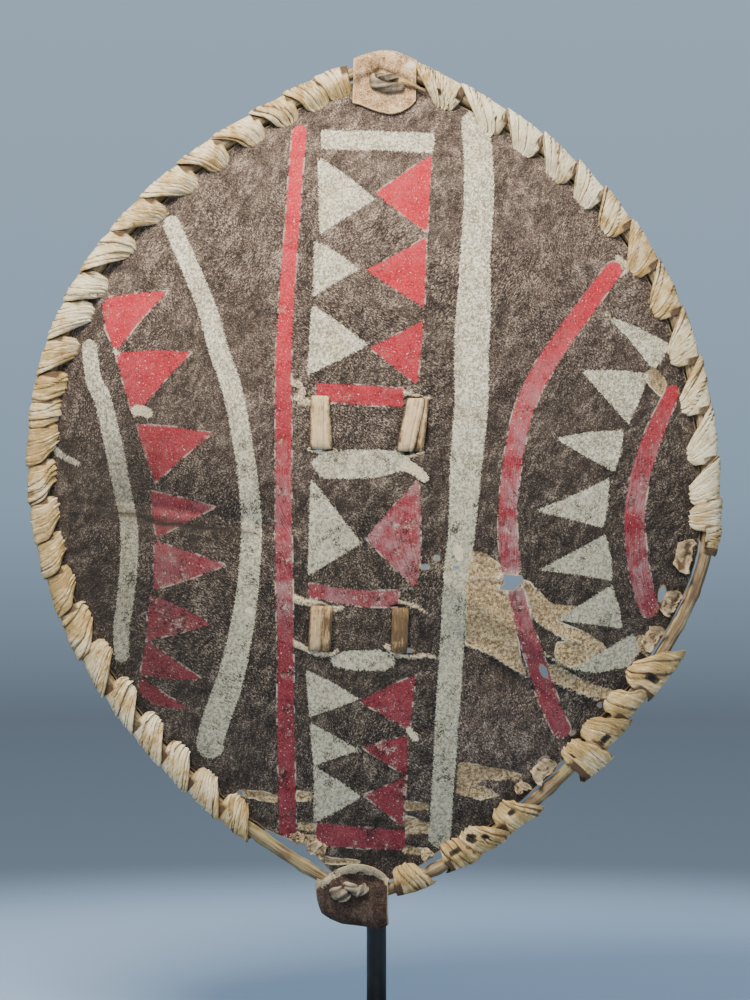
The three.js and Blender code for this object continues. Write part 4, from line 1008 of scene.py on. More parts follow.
def make_patch(name, node, end, start, stop, is_folded, rim, material, seed, outer):
    half = 1.3
    clear = HOOP_RADIUS + GAP + half + 0.3
    rim = np.asarray(rim, float)
    xs = np.linspace(start, stop, 34)
    lines = []
    for x in xs:
        hoop_z, stretch = tip_hoop(end, x)
        tip_out = max(float(np.interp(x, *np.array(outer, float).T)) - hoop_z, 8.0)
        rim_z = np.interp(x, rim[:, 0], rim[:, 1])
        low = min(rim_z - hoop_z, 3.0)

        def hide_f(d):
            return float(sweep(hoop_z) - hide_front(x, end * (hoop_z + d))) + half + 1.1

        knee = max(low + 2, -14)
        near_rim = [(low, max(hide_f(low), 7 if low > -12 else 0)), (knee, max(hide_f(knee), 5.5)),
                    (-4, clear)]
        if low > -9:
            near_rim = [(low, clear), (lerp(low, 4.5, 0.33), clear), (lerp(low, 4.5, 0.66), clear - 0.1)]
        nose = max(7.6, tip_out * 0.72)
        high = 5.5 if tip_out > 15 else 4.6
        path = np.array(near_rim + [
            (4.5, clear - 0.4), (nose, high), (tip_out, 0), (nose, -high), (4.5, 0.4 - clear),
            (-3, -clear - 0.2)])
        path[:, 0] = [d * stretch if -8 < d < 9 else d for d in path[:, 0]]
        d, f = curve(path, 5).T
        lines.append(stacked(x, sweep(hoop_z) - f, end * (hoop_z + d)))
    middle = np.array(lines)
    rows, columns = middle.shape[:2]
    r, c = np.arange(rows)[:, None] / (rows - 1), np.arange(columns)[None, :] / (columns - 1)
    normal = surface_normals(middle)
    normal = normal * np.sign(-normal[rows // 2, 6, 1])
    wave = 0.7 * fractal(r * 3, c * 5, seed) * (1 - smoothstep(c, 0.6, 0.9))
    steps = np.linalg.norm(np.diff(middle, axis=1), axis=2)
    from_rim = np.concatenate([np.zeros((rows, 1)), np.cumsum(steps, axis=1)], axis=1)
    lip = np.exp(-(((from_rim - 4.2) / 3.6) ** 2)) * is_folded
    middle = middle + normal * (wave + 1.7 * lip)[..., None]
    middle[..., 2] += 0.8 * fractal(r * 5, 0.5, seed + 2) * (c < 0.02)
    middle[..., 0] += 0.8 * fractal(c * 5, 0.5, seed + 4) * ((r < 0.01) | (r > 0.99))
    points, faces = slab(middle + normal * half, middle - normal * half)
    distance = np.minimum(np.minimum(r, 1 - r) * (stop - start), from_rim)
    across, down = (middle[..., 0] - 31) / 8, (end * middle[..., 2] - 417) / 5
    pale = 0.85 * np.exp(-(across**2) - down**2) * (end > 0)
    folded = smoothstep(from_rim, 9.4, 7.6) if is_folded else 0.0
    layers = {"edge": distance, "pale": pale, "folded": folded}
    attributes = {key: both_faces(values, distance.shape) for key, values in layers.items()}
    piece = add_object(name, to_frame(points), faces, material, attributes, 40)
    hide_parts(node)
    front = middle[:, : columns // 2].reshape(-1, 3)

    def front_y(x, z):
        near = np.argmin((front[:, 0] - x) ** 2 + (front[:, 2] - z) ** 2)
        return float(front[near, 1]) - half

    return front_y


# ------------------------------------------------------------------ stave, ties and grip straps
def stave_x(z):
    return lerp(STAVE_ENDS[0], STAVE_ENDS[1], (z + HALF) / (2 * HALF))


def stave_scale(z):
    return lerp(1, 0.8, smoothstep(np.abs(z), 180, STAVE_HALF))


def stave_front(z):
    x = stave_x(z)
    back = np.max([hide_front(x + off, z) for off in (-STAVE_WIDE, 0, STAVE_WIDE)], axis=0)
    rise = smoothstep(z, GRIP_LOW, GRIP_LOW + GRIP_RAMP)
    fall = 1 - smoothstep(z, GRIP_HIGH - GRIP_RAMP, GRIP_HIGH)
    return back + HIDE_BACK + 0.7 + GRIP_BOW * rise * fall


def stave_back(z):
    return stave_front(z) + 2 * STAVE_DEEP * stave_scale(z)


def signed_power(v, exponent):
    return np.sign(v) * np.abs(v) ** exponent


def make_stave():
    z = np.linspace(STAVE_HALF, -STAVE_HALF, 240)
    scale = stave_scale(z)
    angle = np.arange(20) * 2 * math.pi / 20
    round_x = signed_power(np.cos(angle), 0.6)
    round_y = signed_power(np.sin(angle), 0.75)
    wobble = 1 + 0.05 * fractal(z[:, None] / 26, np.cos(angle)[None] * 2, 301)
    end = smoothstep(STAVE_HALF - np.abs(z), 0, 4) * 0.35 + 0.65
    thick = (scale * end)[:, None]
    x = stave_x(z)[:, None] + STAVE_WIDE * thick * round_x * wobble
    y = (stave_front(z) + STAVE_DEEP * scale)[:, None] + STAVE_DEEP * thick * round_y * wobble
    points, faces = rings(stacked(x, y, z[:, None]))
    grain = stacked(z[:, None], STAVE_WIDE * np.cos(angle), STAVE_DEEP * np.sin(angle)).reshape(-1, 3)
    piece = add_object("stave", to_frame(points), faces, stave_material(), {"grain": grain}, 50)
    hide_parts("handle_stave")


def rolled(path, radius, seed, turns):
    """A rolled strip of rawhide: a cord with lengthwise creases that wind round it."""
    sides = 20
    grid = tube_grid(path, radius, sides)
    path = np.asarray(path, float)
    along = run_length(path)
    turn = np.arange(sides)[None, :] / sides + turns * along[:, None] / along[-1]
    crease = 0.13 * np.cos(turn * 2 * math.pi * 3 + 1.3 * seed) + 0.08 * np.cos(turn * 2 * math.pi * 5 + seed)
    crease = crease + 0.08 * fractal(along[:, None] / 5, turn * 4, seed)
    points, faces = rings(swollen(grid, path, crease))
    grain = stacked(along[:, None], turn * 20, seed)
    # the crease value also lays painted shade in the cord's creases
    return (points, faces), grain.reshape(-1, 3), crease.ravel() * 2 + 0.5


def strip_part(middle, half_thickness, seed):
    normal = surface_normals(middle)
    rows, columns = middle.shape[:2]
    points, faces = slab(middle + normal * half_thickness, middle - normal * half_thickness)
    v = np.linspace(-1, 1, columns)[None, :]
    width = np.linalg.norm(middle[:, -1] - middle[:, 0], axis=1)[:, None] / 2
    along = run_length(middle[:, columns // 2])[:, None]
    grain = stacked(along, width * v, seed).reshape(-1, 3)
    return (points, faces), np.vstack([grain, grain]), both_faces(width * (1 - np.abs(v)), (rows, columns))


def rawhide_object(name, node, material, parts, tone):
    """parts are ((points, faces), grain, fold, edge), some with a tone and a share of gold of their own."""
    def own(k, usual):
        return np.concatenate([np.full(len(p[2]), p[k] if len(p) > k else usual) for p in parts])

    points, faces = merged(*[p[0] for p in parts])
    attributes = {"tone": own(4, tone), "gold": own(5, 0.0)}
    for k, key in enumerate(("grain", "fold", "edge"), 1):
        attributes[key] = np.concatenate([p[k] for p in parts])
    piece = add_object(name, to_frame(points), faces, material, attributes, 60)
    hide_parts(node)


def make_tie(name, node, end, at, centre, half_span, radius, strands, tail, front_y, tone, seed):
    """Strands, each (radius, [(x, z, height over the patch)]), and a loop that runs behind the stave."""
    z = end * at
    back = float(stave_back(z)) + GAP + radius + 0.6
    start = float(hide_front(centre, z)) - 2
    angle = np.linspace(-0.08, math.pi + 0.08, 40)
    depth = (back - start) * signed_power(np.clip(np.sin(angle), 0, 1), 0.62) - 3 * (np.sin(angle) < 0)
    loop = stacked(centre + half_span * signed_power(np.cos(angle), 0.62), start + depth, z)
    parts = []
    for k, (thick, path) in enumerate([(radius, loop)] + list(strands)):
        if k:
            path = curve([(x, front_y(x, up) - over, up) for x, up, over in path])
        t = np.linspace(0, 1, len(path))
        bulge = (0.72 + 0.28 * np.sin(math.pi * np.clip(t * 1.1 - 0.05, 0, 1)) ** 0.5
                 + 0.07 * fractal(t * 6, k + 0.5, seed))
        part, grain, crease = rolled(path, thick * bulge, seed + k, turns=0.8)
        parts.append((part, grain, crease, np.full(len(grain), 3.0)))
    if tail:
        (x0, z0), (x1, z1) = tail
        t = np.linspace(0, 1, 22)[:, None]
        v = np.linspace(-1, 1, 9)[None, :]
        half = lerp(4.0, 0.6, t**0.8)
        x = lerp(x0, x1, t) + 0.3 * half * v
        up = lerp(z0, z1, t) + half * v * 0.95 + 1.2 * np.sin(t * 4)
        forth = front_y(x0, z0) - 3.2 + 0.8 * t - 1.4 * (1 - v**2) - 1.4 * np.sin(t * math.pi)
        strip, strip_grain, strip_edge = strip_part(stacked(x, forth, up), 0.7, seed + 1)
        parts.append((strip, strip_grain, np.full(len(strip_grain), 0.9), strip_edge, 0.4, 1.0))
    rawhide_object(name, node, TIE_RAWHIDE, parts, tone)


def make_grip(name, node, left, right, top, bottom, bands, seed):
    """Two stitches on the front, each of one or two bands, and two runs behind the stave."""
    def back_y(x, z):
        return hide_front(x, z) + HIDE_BACK + GAP + STRAP_ROLL + 0.5

    runs = (top - RUN_INSET, bottom + RUN_INSET)
    parts = []
    for k, (x_top, x_bottom, half_top, half_bottom, rise, tone) in enumerate(bands):
        x = (x_top + x_bottom) / 2

        def front_y(z, lift):
            return hide_front(x, z) - 1.7 - lift - rise

        halfway = (top + bottom) / 2
        path = [
            (runs[0], back_y(x, runs[0]) + 1, 0.82),
            (top + 0.4, hide_front(x, top) + 1.5, 0.93),
            (top - 3.5, front_y(top - 3.5, 1.0), 1.0),
            (halfway, front_y(halfway, 2.6), 1.0),
            (bottom + 3.5, front_y(bottom + 3.5, 1.6), 1.0),
            (bottom - 0.4, hide_front(x, bottom) + 1.5, 0.86),
            (runs[1], back_y(x, runs[1]) + 1, 0.78),
        ]
        z, y, share = (c[:, None] for c in curve(path, 9).T)
        v = np.linspace(-1, 1, 30)[None, :]
        row = np.arange(len(z))[:, None] / 9.0
        down = np.clip((top - z) / (top - bottom), 0, 1)
        half = lerp(half_top, half_bottom, down) * share
        rng = np.random.default_rng(seed + 7 * k)
        arch = 1.5 * (1 - v**2) * min(1, half_top / 6)
        for _ in range(2):
            place, drift = rng.uniform(-0.7, 0.7), rng.uniform(-0.5, 0.5)
            off = v - place - drift * (row / 6 - 0.5)
            arch = arch - rng.uniform(0.3, 0.8) * np.exp(-((off / 0.10) ** 2))
        arch = arch + 0.35 * fractal(v * 3, row * 0.9, seed + k)
        arch = arch + 0.16 * fractal(v * 12, row * 3, seed + k + 5)
        wander = 0.6 * fractal(row * 1.2, 2.0 + v, seed + k + 9)
        across = lerp(x_top, x_bottom, down) + half * v + wander * v
        strip, grain, edge = strip_part(stacked(across, y - arch, z), 1.1, seed + k)
        # the strap's dips and sides get painted shade through the fold value
        parts.append((strip, grain, both_faces(np.clip(arch / 1.3 + 0.25, 0, 1), across.shape), edge, tone))
    for k, z in enumerate(runs):
        middle_x = float(stave_x(z))
        wide = STAVE_WIDE * float(stave_scale(z)) + GAP + STRAP_ROLL
        high = float(stave_back(z)) + GAP + STRAP_ROLL + 0.3
        path = []
        for way, end in ((-1, left), (1, right)):
            half_way, foot = (end + middle_x) / 2, middle_x + way * (wide + 1)
            leg = [(end + way * 6, back_y(end, z) + 0.4), (half_way, back_y(half_way, z)),
                   (foot, lerp(back_y(foot, z), high, 0.45)), (middle_x + way * wide * 0.6, high)]
            path += leg if way < 0 else leg[::-1]
        x, y = curve(path).T
        part, grain, crease = rolled(stacked(x, y, z), 3.4, seed + 20 + k, turns=3)
        parts.append((part, grain, crease, np.full(len(grain), 3.0)))
    rawhide_object(name, node, STRAP_RAWHIDE, parts, 1.0)


# ------------------------------------------------------------------ stand
def cylinder_part(a, b, radius, sides=40, round_end=0.8):
    a, b = np.asarray(a, float), np.asarray(b, float)
    way = (b - a) / np.linalg.norm(b - a)
    path = np.vstack([a, a + way * round_end, a + way * round_end * 2, b - way * round_end * 2,
                      b - way * round_end, b])
    radii = radius - np.array([round_end, round_end * 0.25, 0, 0, round_end * 0.25, round_end])
    return rings(tube_grid(path, radii, sides))


def make_stand():
    z = GRIPS["grip_strap_upper"][3] + RUN_INSET - STRAP_ROLL - GAP - FORK_RADIUS - 0.6
    tips = []
    for side in (-1, 1):
        x = float(stave_x(z)) + side * FORK_REACH
        tips.append(to_frame([x, float(hide_front(x, z)) + HIDE_BACK + 2, z]) * 1000)
    level = (tips[0][2] + tips[1][2]) / 2
    foot_low, foot_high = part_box("stand_foot")
    post_low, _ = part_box("stand_post")
    cross_y = ROD_DEPTH - 2
    ends = [(tip[0] + 3 * side, cross_y, level) for tip, side in zip(tips, (-1, 1))]
    parts = [cylinder_part((0, ROD_DEPTH, post_low.z * 1000), (0, ROD_DEPTH, level + 9), ROD_RADIUS, 48),
             cylinder_part(*ends, CROSS_RADIUS)]
    for tip in tips:
        parts.append(cylinder_part((tip[0], tip[1] + 2, tip[2]), (tip[0], cross_y, level), FORK_RADIUS))
    points, faces = merged(*parts)
    post = add_object("post", points / 1000, faces, STEEL, None, 40)
    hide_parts("stand_post")

    half_x, half_y = (foot_high.x - foot_low.x) * 500, (foot_high.y - foot_low.y) * 500
    thick = (foot_high.z - foot_low.z) * 1000
    quarter = np.linspace(0, math.pi / 2, 12)
    corners = [(1, 1, 0), (-1, 1, 1), (-1, -1, 2), (1, -1, 3)]
    profile = [(3.0, 0.0), (1.0, 0.0), (0.3, 0.3), (0, 1.0), (0, thick - 1.6), (0.5, thick - 0.5),
               (1.6, thick), (4, thick)]
    half_x, half_y = half_x - FOOT_CORNER, half_y - FOOT_CORNER
    grid = []
    for inset, height in profile:
        ring = []
        for sx, sy, turn in corners:
            a = quarter + turn * math.pi / 2
            radius = FOOT_CORNER - inset
            ring.append(stacked(sx * half_x + radius * np.cos(a), sy * half_y + radius * np.sin(a), height))
        grid.append(np.vstack(ring))
    points, faces = rings(np.array(grid))
    foot = add_object("foot", points / 1000, faces, STEEL, None, 40)
    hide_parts("stand_foot")


# ------------------------------------------------------------------ materials
def toned(colour, scale, shift=0.0):
    """A colour made lighter or darker."""
    return tuple(min(1, v * scale + shift) for v in colour)


class Value:
    """A value of a node material; sums and products of values are nodes too."""

    def __init__(self, look, socket):
        self.look, self.socket = look, socket

    def __add__(self, other):
        return self.look.math("ADD", self, other)

    def __sub__(self, other):
        return self.look.math("SUBTRACT", self, other)

    def __rsub__(self, other):
        return self.look.math("SUBTRACT", other, self)

    def __mul__(self, other):
        return self.look.math("MULTIPLY", self, other)

    __radd__, __rmul__ = __add__, __mul__


def fill_ramp(elements, stops):
    while len(elements) < len(stops):
        elements.new(0.5)
    for element, (at, colour) in zip(elements, stops):
        element.position = at
        element.color = (*colour, 1)


class Look:
    """A small helper round one node material."""

    def __init__(self, name):
        self.material = bpy.data.materials.new(name)
        self.material.use_nodes = True
        self.tree = self.material.node_tree
        self.shader = self.tree.nodes["Principled BSDF"]
        self.place = self.node("ShaderNodeTexCoord", "Object", {})

    def node(self, kind, output, inputs, **settings):
        """A new node's output, by name or number, with its inputs filled in."""
        node = self.tree.nodes.new(kind)
        for key, value in settings.items():
            setattr(node, key, value)
        for key, value in inputs.items():
            self.put(node.inputs[key], value)
        return Value(self, node.outputs[output])

    def put(self, socket, value):
        if isinstance(value, Value):
            self.tree.links.new(value.socket, socket)
        elif isinstance(value, tuple) and len(value) == 3 and socket.type == "RGBA":
            socket.default_value = (*value, 1)
        else:
            socket.default_value = value

    def attribute(self, name, output="Fac"):
        return self.node("ShaderNodeAttribute", output, {}, attribute_name=name)

    def scaled(self, vector, scale, shift=(0, 0, 0)):
        return self.node("ShaderNodeMapping", "Vector", {"Vector": vector, "Scale": scale, "Location": shift})

    def turned(self, vector, degrees):
        """The vector turned in its own x and y."""
        inputs = {"Vector": vector, "Angle": math.radians(degrees)}
        return self.node("ShaderNodeVectorRotate", "Vector", inputs, rotation_type="Z_AXIS")

    def distance(self, place):
        inputs = {0: self.place, 1: place}
        return self.node("ShaderNodeVectorMath", "Value", inputs, operation="DISTANCE")

    def axis(self, name):
        return self.node("ShaderNodeSeparateXYZ", name, {0: self.place})

    def blend(self, share, a, b):
        """A number between two numbers."""
        return self.node("ShaderNodeMix", 0, {"Factor": share, 2: a, 3: b}, data_type="FLOAT")

    def mix(self, share, a, b):
        """A colour between two colours."""
        return self.node("ShaderNodeMix", 2, {"Factor": share, 6: a, 7: b}, data_type="RGBA")

    def noise(self, vector, scale, detail=3.0, roughness=0.55, distortion=0.0):
        inputs = {"Vector": vector, "Scale": scale, "Detail": detail, "Roughness": roughness}
        return self.node("ShaderNodeTexNoise", "Fac", {**inputs, "Distortion": distortion})

    def streaks(self, vector, scale, shift, detail, roughness, distortion=0.0):
        """Noise drawn out along the vector's axes."""
        return self.noise(self.scaled(vector, scale, shift), 1.0, detail, roughness, distortion)

    def math(self, operation, a, b=0.0, clamp=False):
        return self.node("ShaderNodeMath", 0, {0: a, 1: b}, operation=operation, use_clamp=clamp)

    def step(self, value, low, high, out_low=0.0, out_high=1.0):
        """Smooth step from out_low to out_high as value goes from low to high."""
        inputs = {"Value": value, "From Min": low, "From Max": high, "To Min": out_low, "To Max": out_high}
        return self.node("ShaderNodeMapRange", "Result", inputs, interpolation_type="SMOOTHSTEP")

    def stain(self, colour, tint, value, low, high, share=1.0):
        """The colour with a share of the tint laid on where value rises from low to high."""
        return self.mix(self.step(value, low, high, 0.0, share), colour, tint)

    def ramp(self, value, *stops):
        colour = self.node("ShaderNodeValToRGB", "Color", {"Fac": value})
        fill_ramp(colour.socket.node.color_ramp.elements, stops)
        return colour

    def bump(self, height, strength, distance, under=None):
        inputs = {"Height": height, "Strength": strength, "Distance": distance}
        if under is not None:
            inputs["Normal"] = under
        return self.node("ShaderNodeBump", "Normal", inputs)

    def finish(self, colour, roughness, normal, specular=0.5, **fixed):
        inputs = {"Base Color": colour, "Roughness": roughness, "Normal": normal,
                  "Specular IOR Level": specular}
        inputs.update({key.replace("_", " "): value for key, value in fixed.items()})
        for key, value in inputs.items():
            self.put(self.shader.inputs[key], value)
        return self.material


def skin_colour(look, nap, patches, skin_noise):
    """Bare skin where the hair has worn off."""
    skin = look.ramp(skin_noise, (0.36, (0.1, 0.055, 0.022)), (0.46, (0.33, 0.215, 0.1)),
                     (0.55, (0.66, 0.48, 0.255)), (0.64, (0.88, 0.7, 0.42)))
    skin = look.mix(look.step(patches, 0.42, 0.58, 0.22, 0.0), skin, (0.17, 0.118, 0.068))
    shaded = look.noise(look.place, 24, 4, 0.6, 0.8)
    skin = look.stain(skin, (0.13, 0.088, 0.048), shaded, 0.5, 0.64, 0.5)
    pores = look.streaks(look.turned(nap, -30), (1.3, 0.55, 1), (4, 2, 0), 3, 0.7)
    return look.stain(skin, (0.115, 0.072, 0.035), pores, 0.5, 0.4, 0.75)


def white_colour(look, chalky, height, blotches, weave, grain, hair):
    """White paint, greyer below, yellowed and soiled in spots."""
    paint = look.ramp(chalky, (0.41, (0.34, 0.27, 0.16)), (0.465, (0.6, 0.525, 0.37)),
                      (0.52, (0.84, 0.775, 0.59)), (0.58, (0.97, 0.915, 0.75)))
    yellowed = look.step(look.noise(look.place, 30, 4, 0.65, 0.8), 0.5, 0.66) * 0.6
    paint = look.mix(yellowed, paint, (0.66, 0.54, 0.34))
    grey = height + (blotches - 0.5) * 120
    paint = look.mix(look.step(grey, -90, 150, 0.75, 0.0), paint, (0.46, 0.43, 0.305))
    grime = look.noise(look.place, 250, 4, 0.72, 0.3)
    paint = look.stain(paint, (0.38, 0.345, 0.255), grime, 0.48, 0.64, 0.6)
    paint = look.stain(paint, (0.36, 0.315, 0.225), weave, 0.5, 0.62, 0.55)
    paint = look.stain(paint, (0.2, 0.17, 0.11), grain, 0.485, 0.56, 0.8)
    return look.stain(paint, (0.26, 0.22, 0.145), hair, 0.47, 0.36, 0.7)


def red_colour(look, chalky, height, patches, weave, grain, across):
    """Red paint, dark below and bright above, with chalk that has rubbed off on it."""
    red_low = look.ramp(chalky, (0.38, (0.085, 0.006, 0.01)), (0.5, (0.175, 0.014, 0.021)),
                        (0.6, (0.28, 0.05, 0.06)))
    red_high = look.ramp(chalky, (0.36, (0.3, 0.01, 0.017)), (0.5, (0.5, 0.017, 0.029)),
                         (0.62, (0.66, 0.08, 0.095)))
    paint = look.stain(red_low, red_high, height + patches * 90, -90, 330)
    faded = look.step(height, 60, -30) * look.step(height, -190, -90)
    on_arcs = look.step(across, 0.11, 0.15) * look.step(height, 190, 60)
    on_arcs *= look.step(across, 0.235, 0.205, 0.25, 1.0)
    on_arcs *= look.step(height, -130, -70, 0.15, 1.0)
    chalk_noise = look.noise(look.place, 30, 5, 0.72, 0.4) * 0.6 + weave * 0.4
    faded *= look.step(across, -0.15, -0.09, 0.4, 1.0)
    strength = faded * 0.38 + on_arcs * 0.34
    chalk = look.math("MULTIPLY", look.step(chalk_noise, 0.42, 0.6), 0.05 + strength, clamp=True)
    paint = look.mix(chalk, paint, (0.43, 0.315, 0.3))
    paint = look.stain(paint, (0.1, 0.012, 0.016), grain, 0.58, 0.7, 0.35)
    flecks = look.noise(look.place, 520, 1, 0.4)
    return look.stain(paint, (0.75, 0.6, 0.56), flecks, 0.7, 0.76, 0.7)


def flesh_colour(look, patches, skin_noise):
    """The flesh side at the back."""
    flesh = look.ramp(patches * 0.6 + skin_noise * 0.4, (0.34, (0.13, 0.082, 0.045)),
                      (0.5, (0.27, 0.185, 0.105)), (0.66, (0.43, 0.325, 0.2)))
    blots = look.noise(look.place, 34, 5, 0.7, 0.5)
    return look.stain(flesh, (0.1, 0.062, 0.036), blots, 0.56, 0.72, 0.6)


def hide_material():
    look = Look("hide_short_fur")
    nap = look.attribute("nap", "Vector")
    height = look.attribute("height")
    mixer = look.noise(look.place, 9, 2, 0.5)
    left_hair = look.streaks(look.turned(nap, 38), (0.85, 0.3, 1), (0, 0, 0), 3, 0.68, 0.25)
    right_hair = look.streaks(look.turned(nap, -52), (0.85, 0.3, 1), (17, 5, 0), 3, 0.68, 0.25)
    strokes = look.blend(look.step(mixer, 0.44, 0.56), left_hair, right_hair)
    tufts = look.streaks(look.turned(nap, 20), (0.24, 0.13, 1), (31, 7, 0), 3, 0.65, 0.8)
    specks = look.noise(look.place, 760, 2, 0.7)
    patches = look.noise(look.place, 17, 3, 0.55)
    blotches = look.noise(look.place, 55, 3, 0.6, 0.5)

    # brown short hair, paler above: partly dust, partly painted light and sheen from above
    # this share is dust and painted light together: it lightens the hair towards the top
    dust = look.step(height + (patches - 0.5) * 300, -90, 330)
    for middle, share in DUST_PATCHES:
        spread = look.distance(middle) + patches * 0.06
        dust = look.math("ADD", dust, look.step(spread, 0.12, 0.05, 0.0, share), clamp=True)
    clumps = look.streaks(look.turned(nap, 28), (0.085, 0.042, 1), (9, 40, 0), 5, 0.68, 1.0)
    calm = look.step(look.noise(look.place, 7.5, 2, 0.5), 0.44, 0.6, 0.35, 1.0)
    stroke_share = (strokes - 0.5) * calm
    hair = stroke_share * 0.52 + tufts * 0.1 + specks * 0.36 + clumps * 0.24 + (blotches - 0.5) * 0.16 + 0.14
    dark = look.ramp(hair, (0.4, (0.005, 0.003, 0.002)), (0.47, (0.024, 0.016, 0.011)),
                     (0.525, (0.074, 0.053, 0.038)), (0.6, (0.32, 0.25, 0.185)))
    paler_hair = look.ramp(hair, (0.4, (0.018, 0.011, 0.008)), (0.465, (0.068, 0.045, 0.033)),
                      (0.525, (0.16, 0.113, 0.084)), (0.6, (0.48, 0.375, 0.29)))
    colour = look.mix(dust, dark, paler_hair)

    skin_noise = look.noise(look.place, 330, 5, 0.72)
    skin = skin_colour(look, nap, patches, skin_noise)
    fray = (strokes - 0.5) * 6.0
    bare = look.step(look.attribute("worn") + fray, -0.7, 0.9)
    colour = look.mix(bare, colour, skin)
    lip = look.step(look.attribute("worn"), -0.8, 0.0) * look.step(look.attribute("worn"), 1.2, 0.4)
    lip *= look.step(look.noise(look.place, 34, 4, 0.65), 0.48, 0.6, 0.0, 0.8)
    colour = look.mix(lip, colour, (0.78, 0.655, 0.43))
    raw_noise = look.ramp(look.noise(look.place, 420, 4, 0.72), (0.36, (0.16, 0.095, 0.042)),
                          (0.48, (0.56, 0.43, 0.26)), (0.62, (0.82, 0.7, 0.5)))
    raw = look.step(look.attribute("raw") + fray, -0.8, 0.9)
    colour = look.mix(raw, colour, raw_noise)

    # paint: broad colours with hairy edges, thin where the hair has rubbed through
    hairy = (strokes - 0.5) * 6.5 + (specks - 0.5) * 3.0
    rubbed = look.step(height, -40, 150, 1.0, 0.35)
    thin = look.step(hair + (blotches - 0.5) * 0.25, 0.38, 0.46, 0.15, 1.0)
    thin = 1.0 - (1.0 - thin) * rubbed
    chalky = specks * 0.45 + strokes * 0.35 + blotches * 0.2
    grain = look.noise(look.place, 340, 4, 0.75)
    weave = look.streaks(nap, (0.9, 0.05, 1), (3, 60, 0), 4, 0.7)
    white_paint = white_colour(look, chalky, height, blotches, weave, grain, left_hair)
    across = look.axis("X")
    red_paint = red_colour(look, chalky, height, patches, weave, grain, across)
    white_share = look.step(look.attribute("white") + hairy, -0.6, 0.8) * thin
    red_share = look.step(look.attribute("red") + hairy, -0.6, 0.8) * thin
    halo = look.step(look.noise(look.place, 70, 4, 0.7), 0.5, 0.58)
    halo = look.step(look.attribute("red"), -1.7, -0.5) * halo
    colour = look.mix(halo * 0.75, colour, (0.6, 0.49, 0.38))
    colour = look.mix(red_share, colour, red_paint)
    colour = look.mix(white_share, colour, white_paint)
    dabs = look.ramp(specks, (0.36, (0.45, 0.35, 0.2)), (0.6, (0.76, 0.66, 0.46)))
    colour = look.stain(colour, dabs, look.attribute("cream") + hairy, -0.6, 0.8)

    # painted shade on the lower left, where the hide turns away from the light
    painted_shade_lower_left = look.step(across, -0.1, -0.24) * look.step(height, 150, 0)
    painted_shade_lower_left *= look.step(patches, 0.3, 0.7, 0.3, 0.5)
    colour = look.mix(painted_shade_lower_left, colour, (0.02, 0.014, 0.01))
    # painted shadow along the fold: a soft dark band, then a sharp dark line in its bottom
    colour = look.stain(colour, (0.02, 0.014, 0.01), look.attribute("crease_shadow"), -9, 0.5, 0.55)
    colour = look.stain(colour, (0.012, 0.008, 0.005), look.attribute("crease_shadow") + fray, -1.6, 0.9, 0.92)
    # painted shade in the slits where the grip straps go through
    colour = look.stain(colour, (0.012, 0.008, 0.005), look.attribute("slit"), 0.0, 1.1)

    # raw cut edges, and the flesh side at the back
    rim = look.step(look.attribute("edge"), 0.1, 1.3, 1.0, 0.0)
    colour = look.mix(rim * 0.75, colour, (0.4, 0.29, 0.17))
    flesh = flesh_colour(look, patches, skin_noise)
    back = look.step(look.attribute("back"), 0.45, 0.55)
    colour = look.mix(back, colour, flesh)

    painted = look.math("MAXIMUM", white_share, red_share)
    relief = hair * (1.0 - painted * 0.55) + painted * 0.22
    normal = look.bump(relief, 0.9, 0.0028)
    normal = look.bump(skin_noise, 0.35, 0.0012, normal)
    normal = look.bump(blotches, 0.25, 0.003, normal)
    roughness = look.step(strokes, 0.35, 0.65, 0.94, 0.68)
    return look.finish(colour, roughness, normal, 0.3, Sheen_Weight=0.06, Sheen_Roughness=0.5)


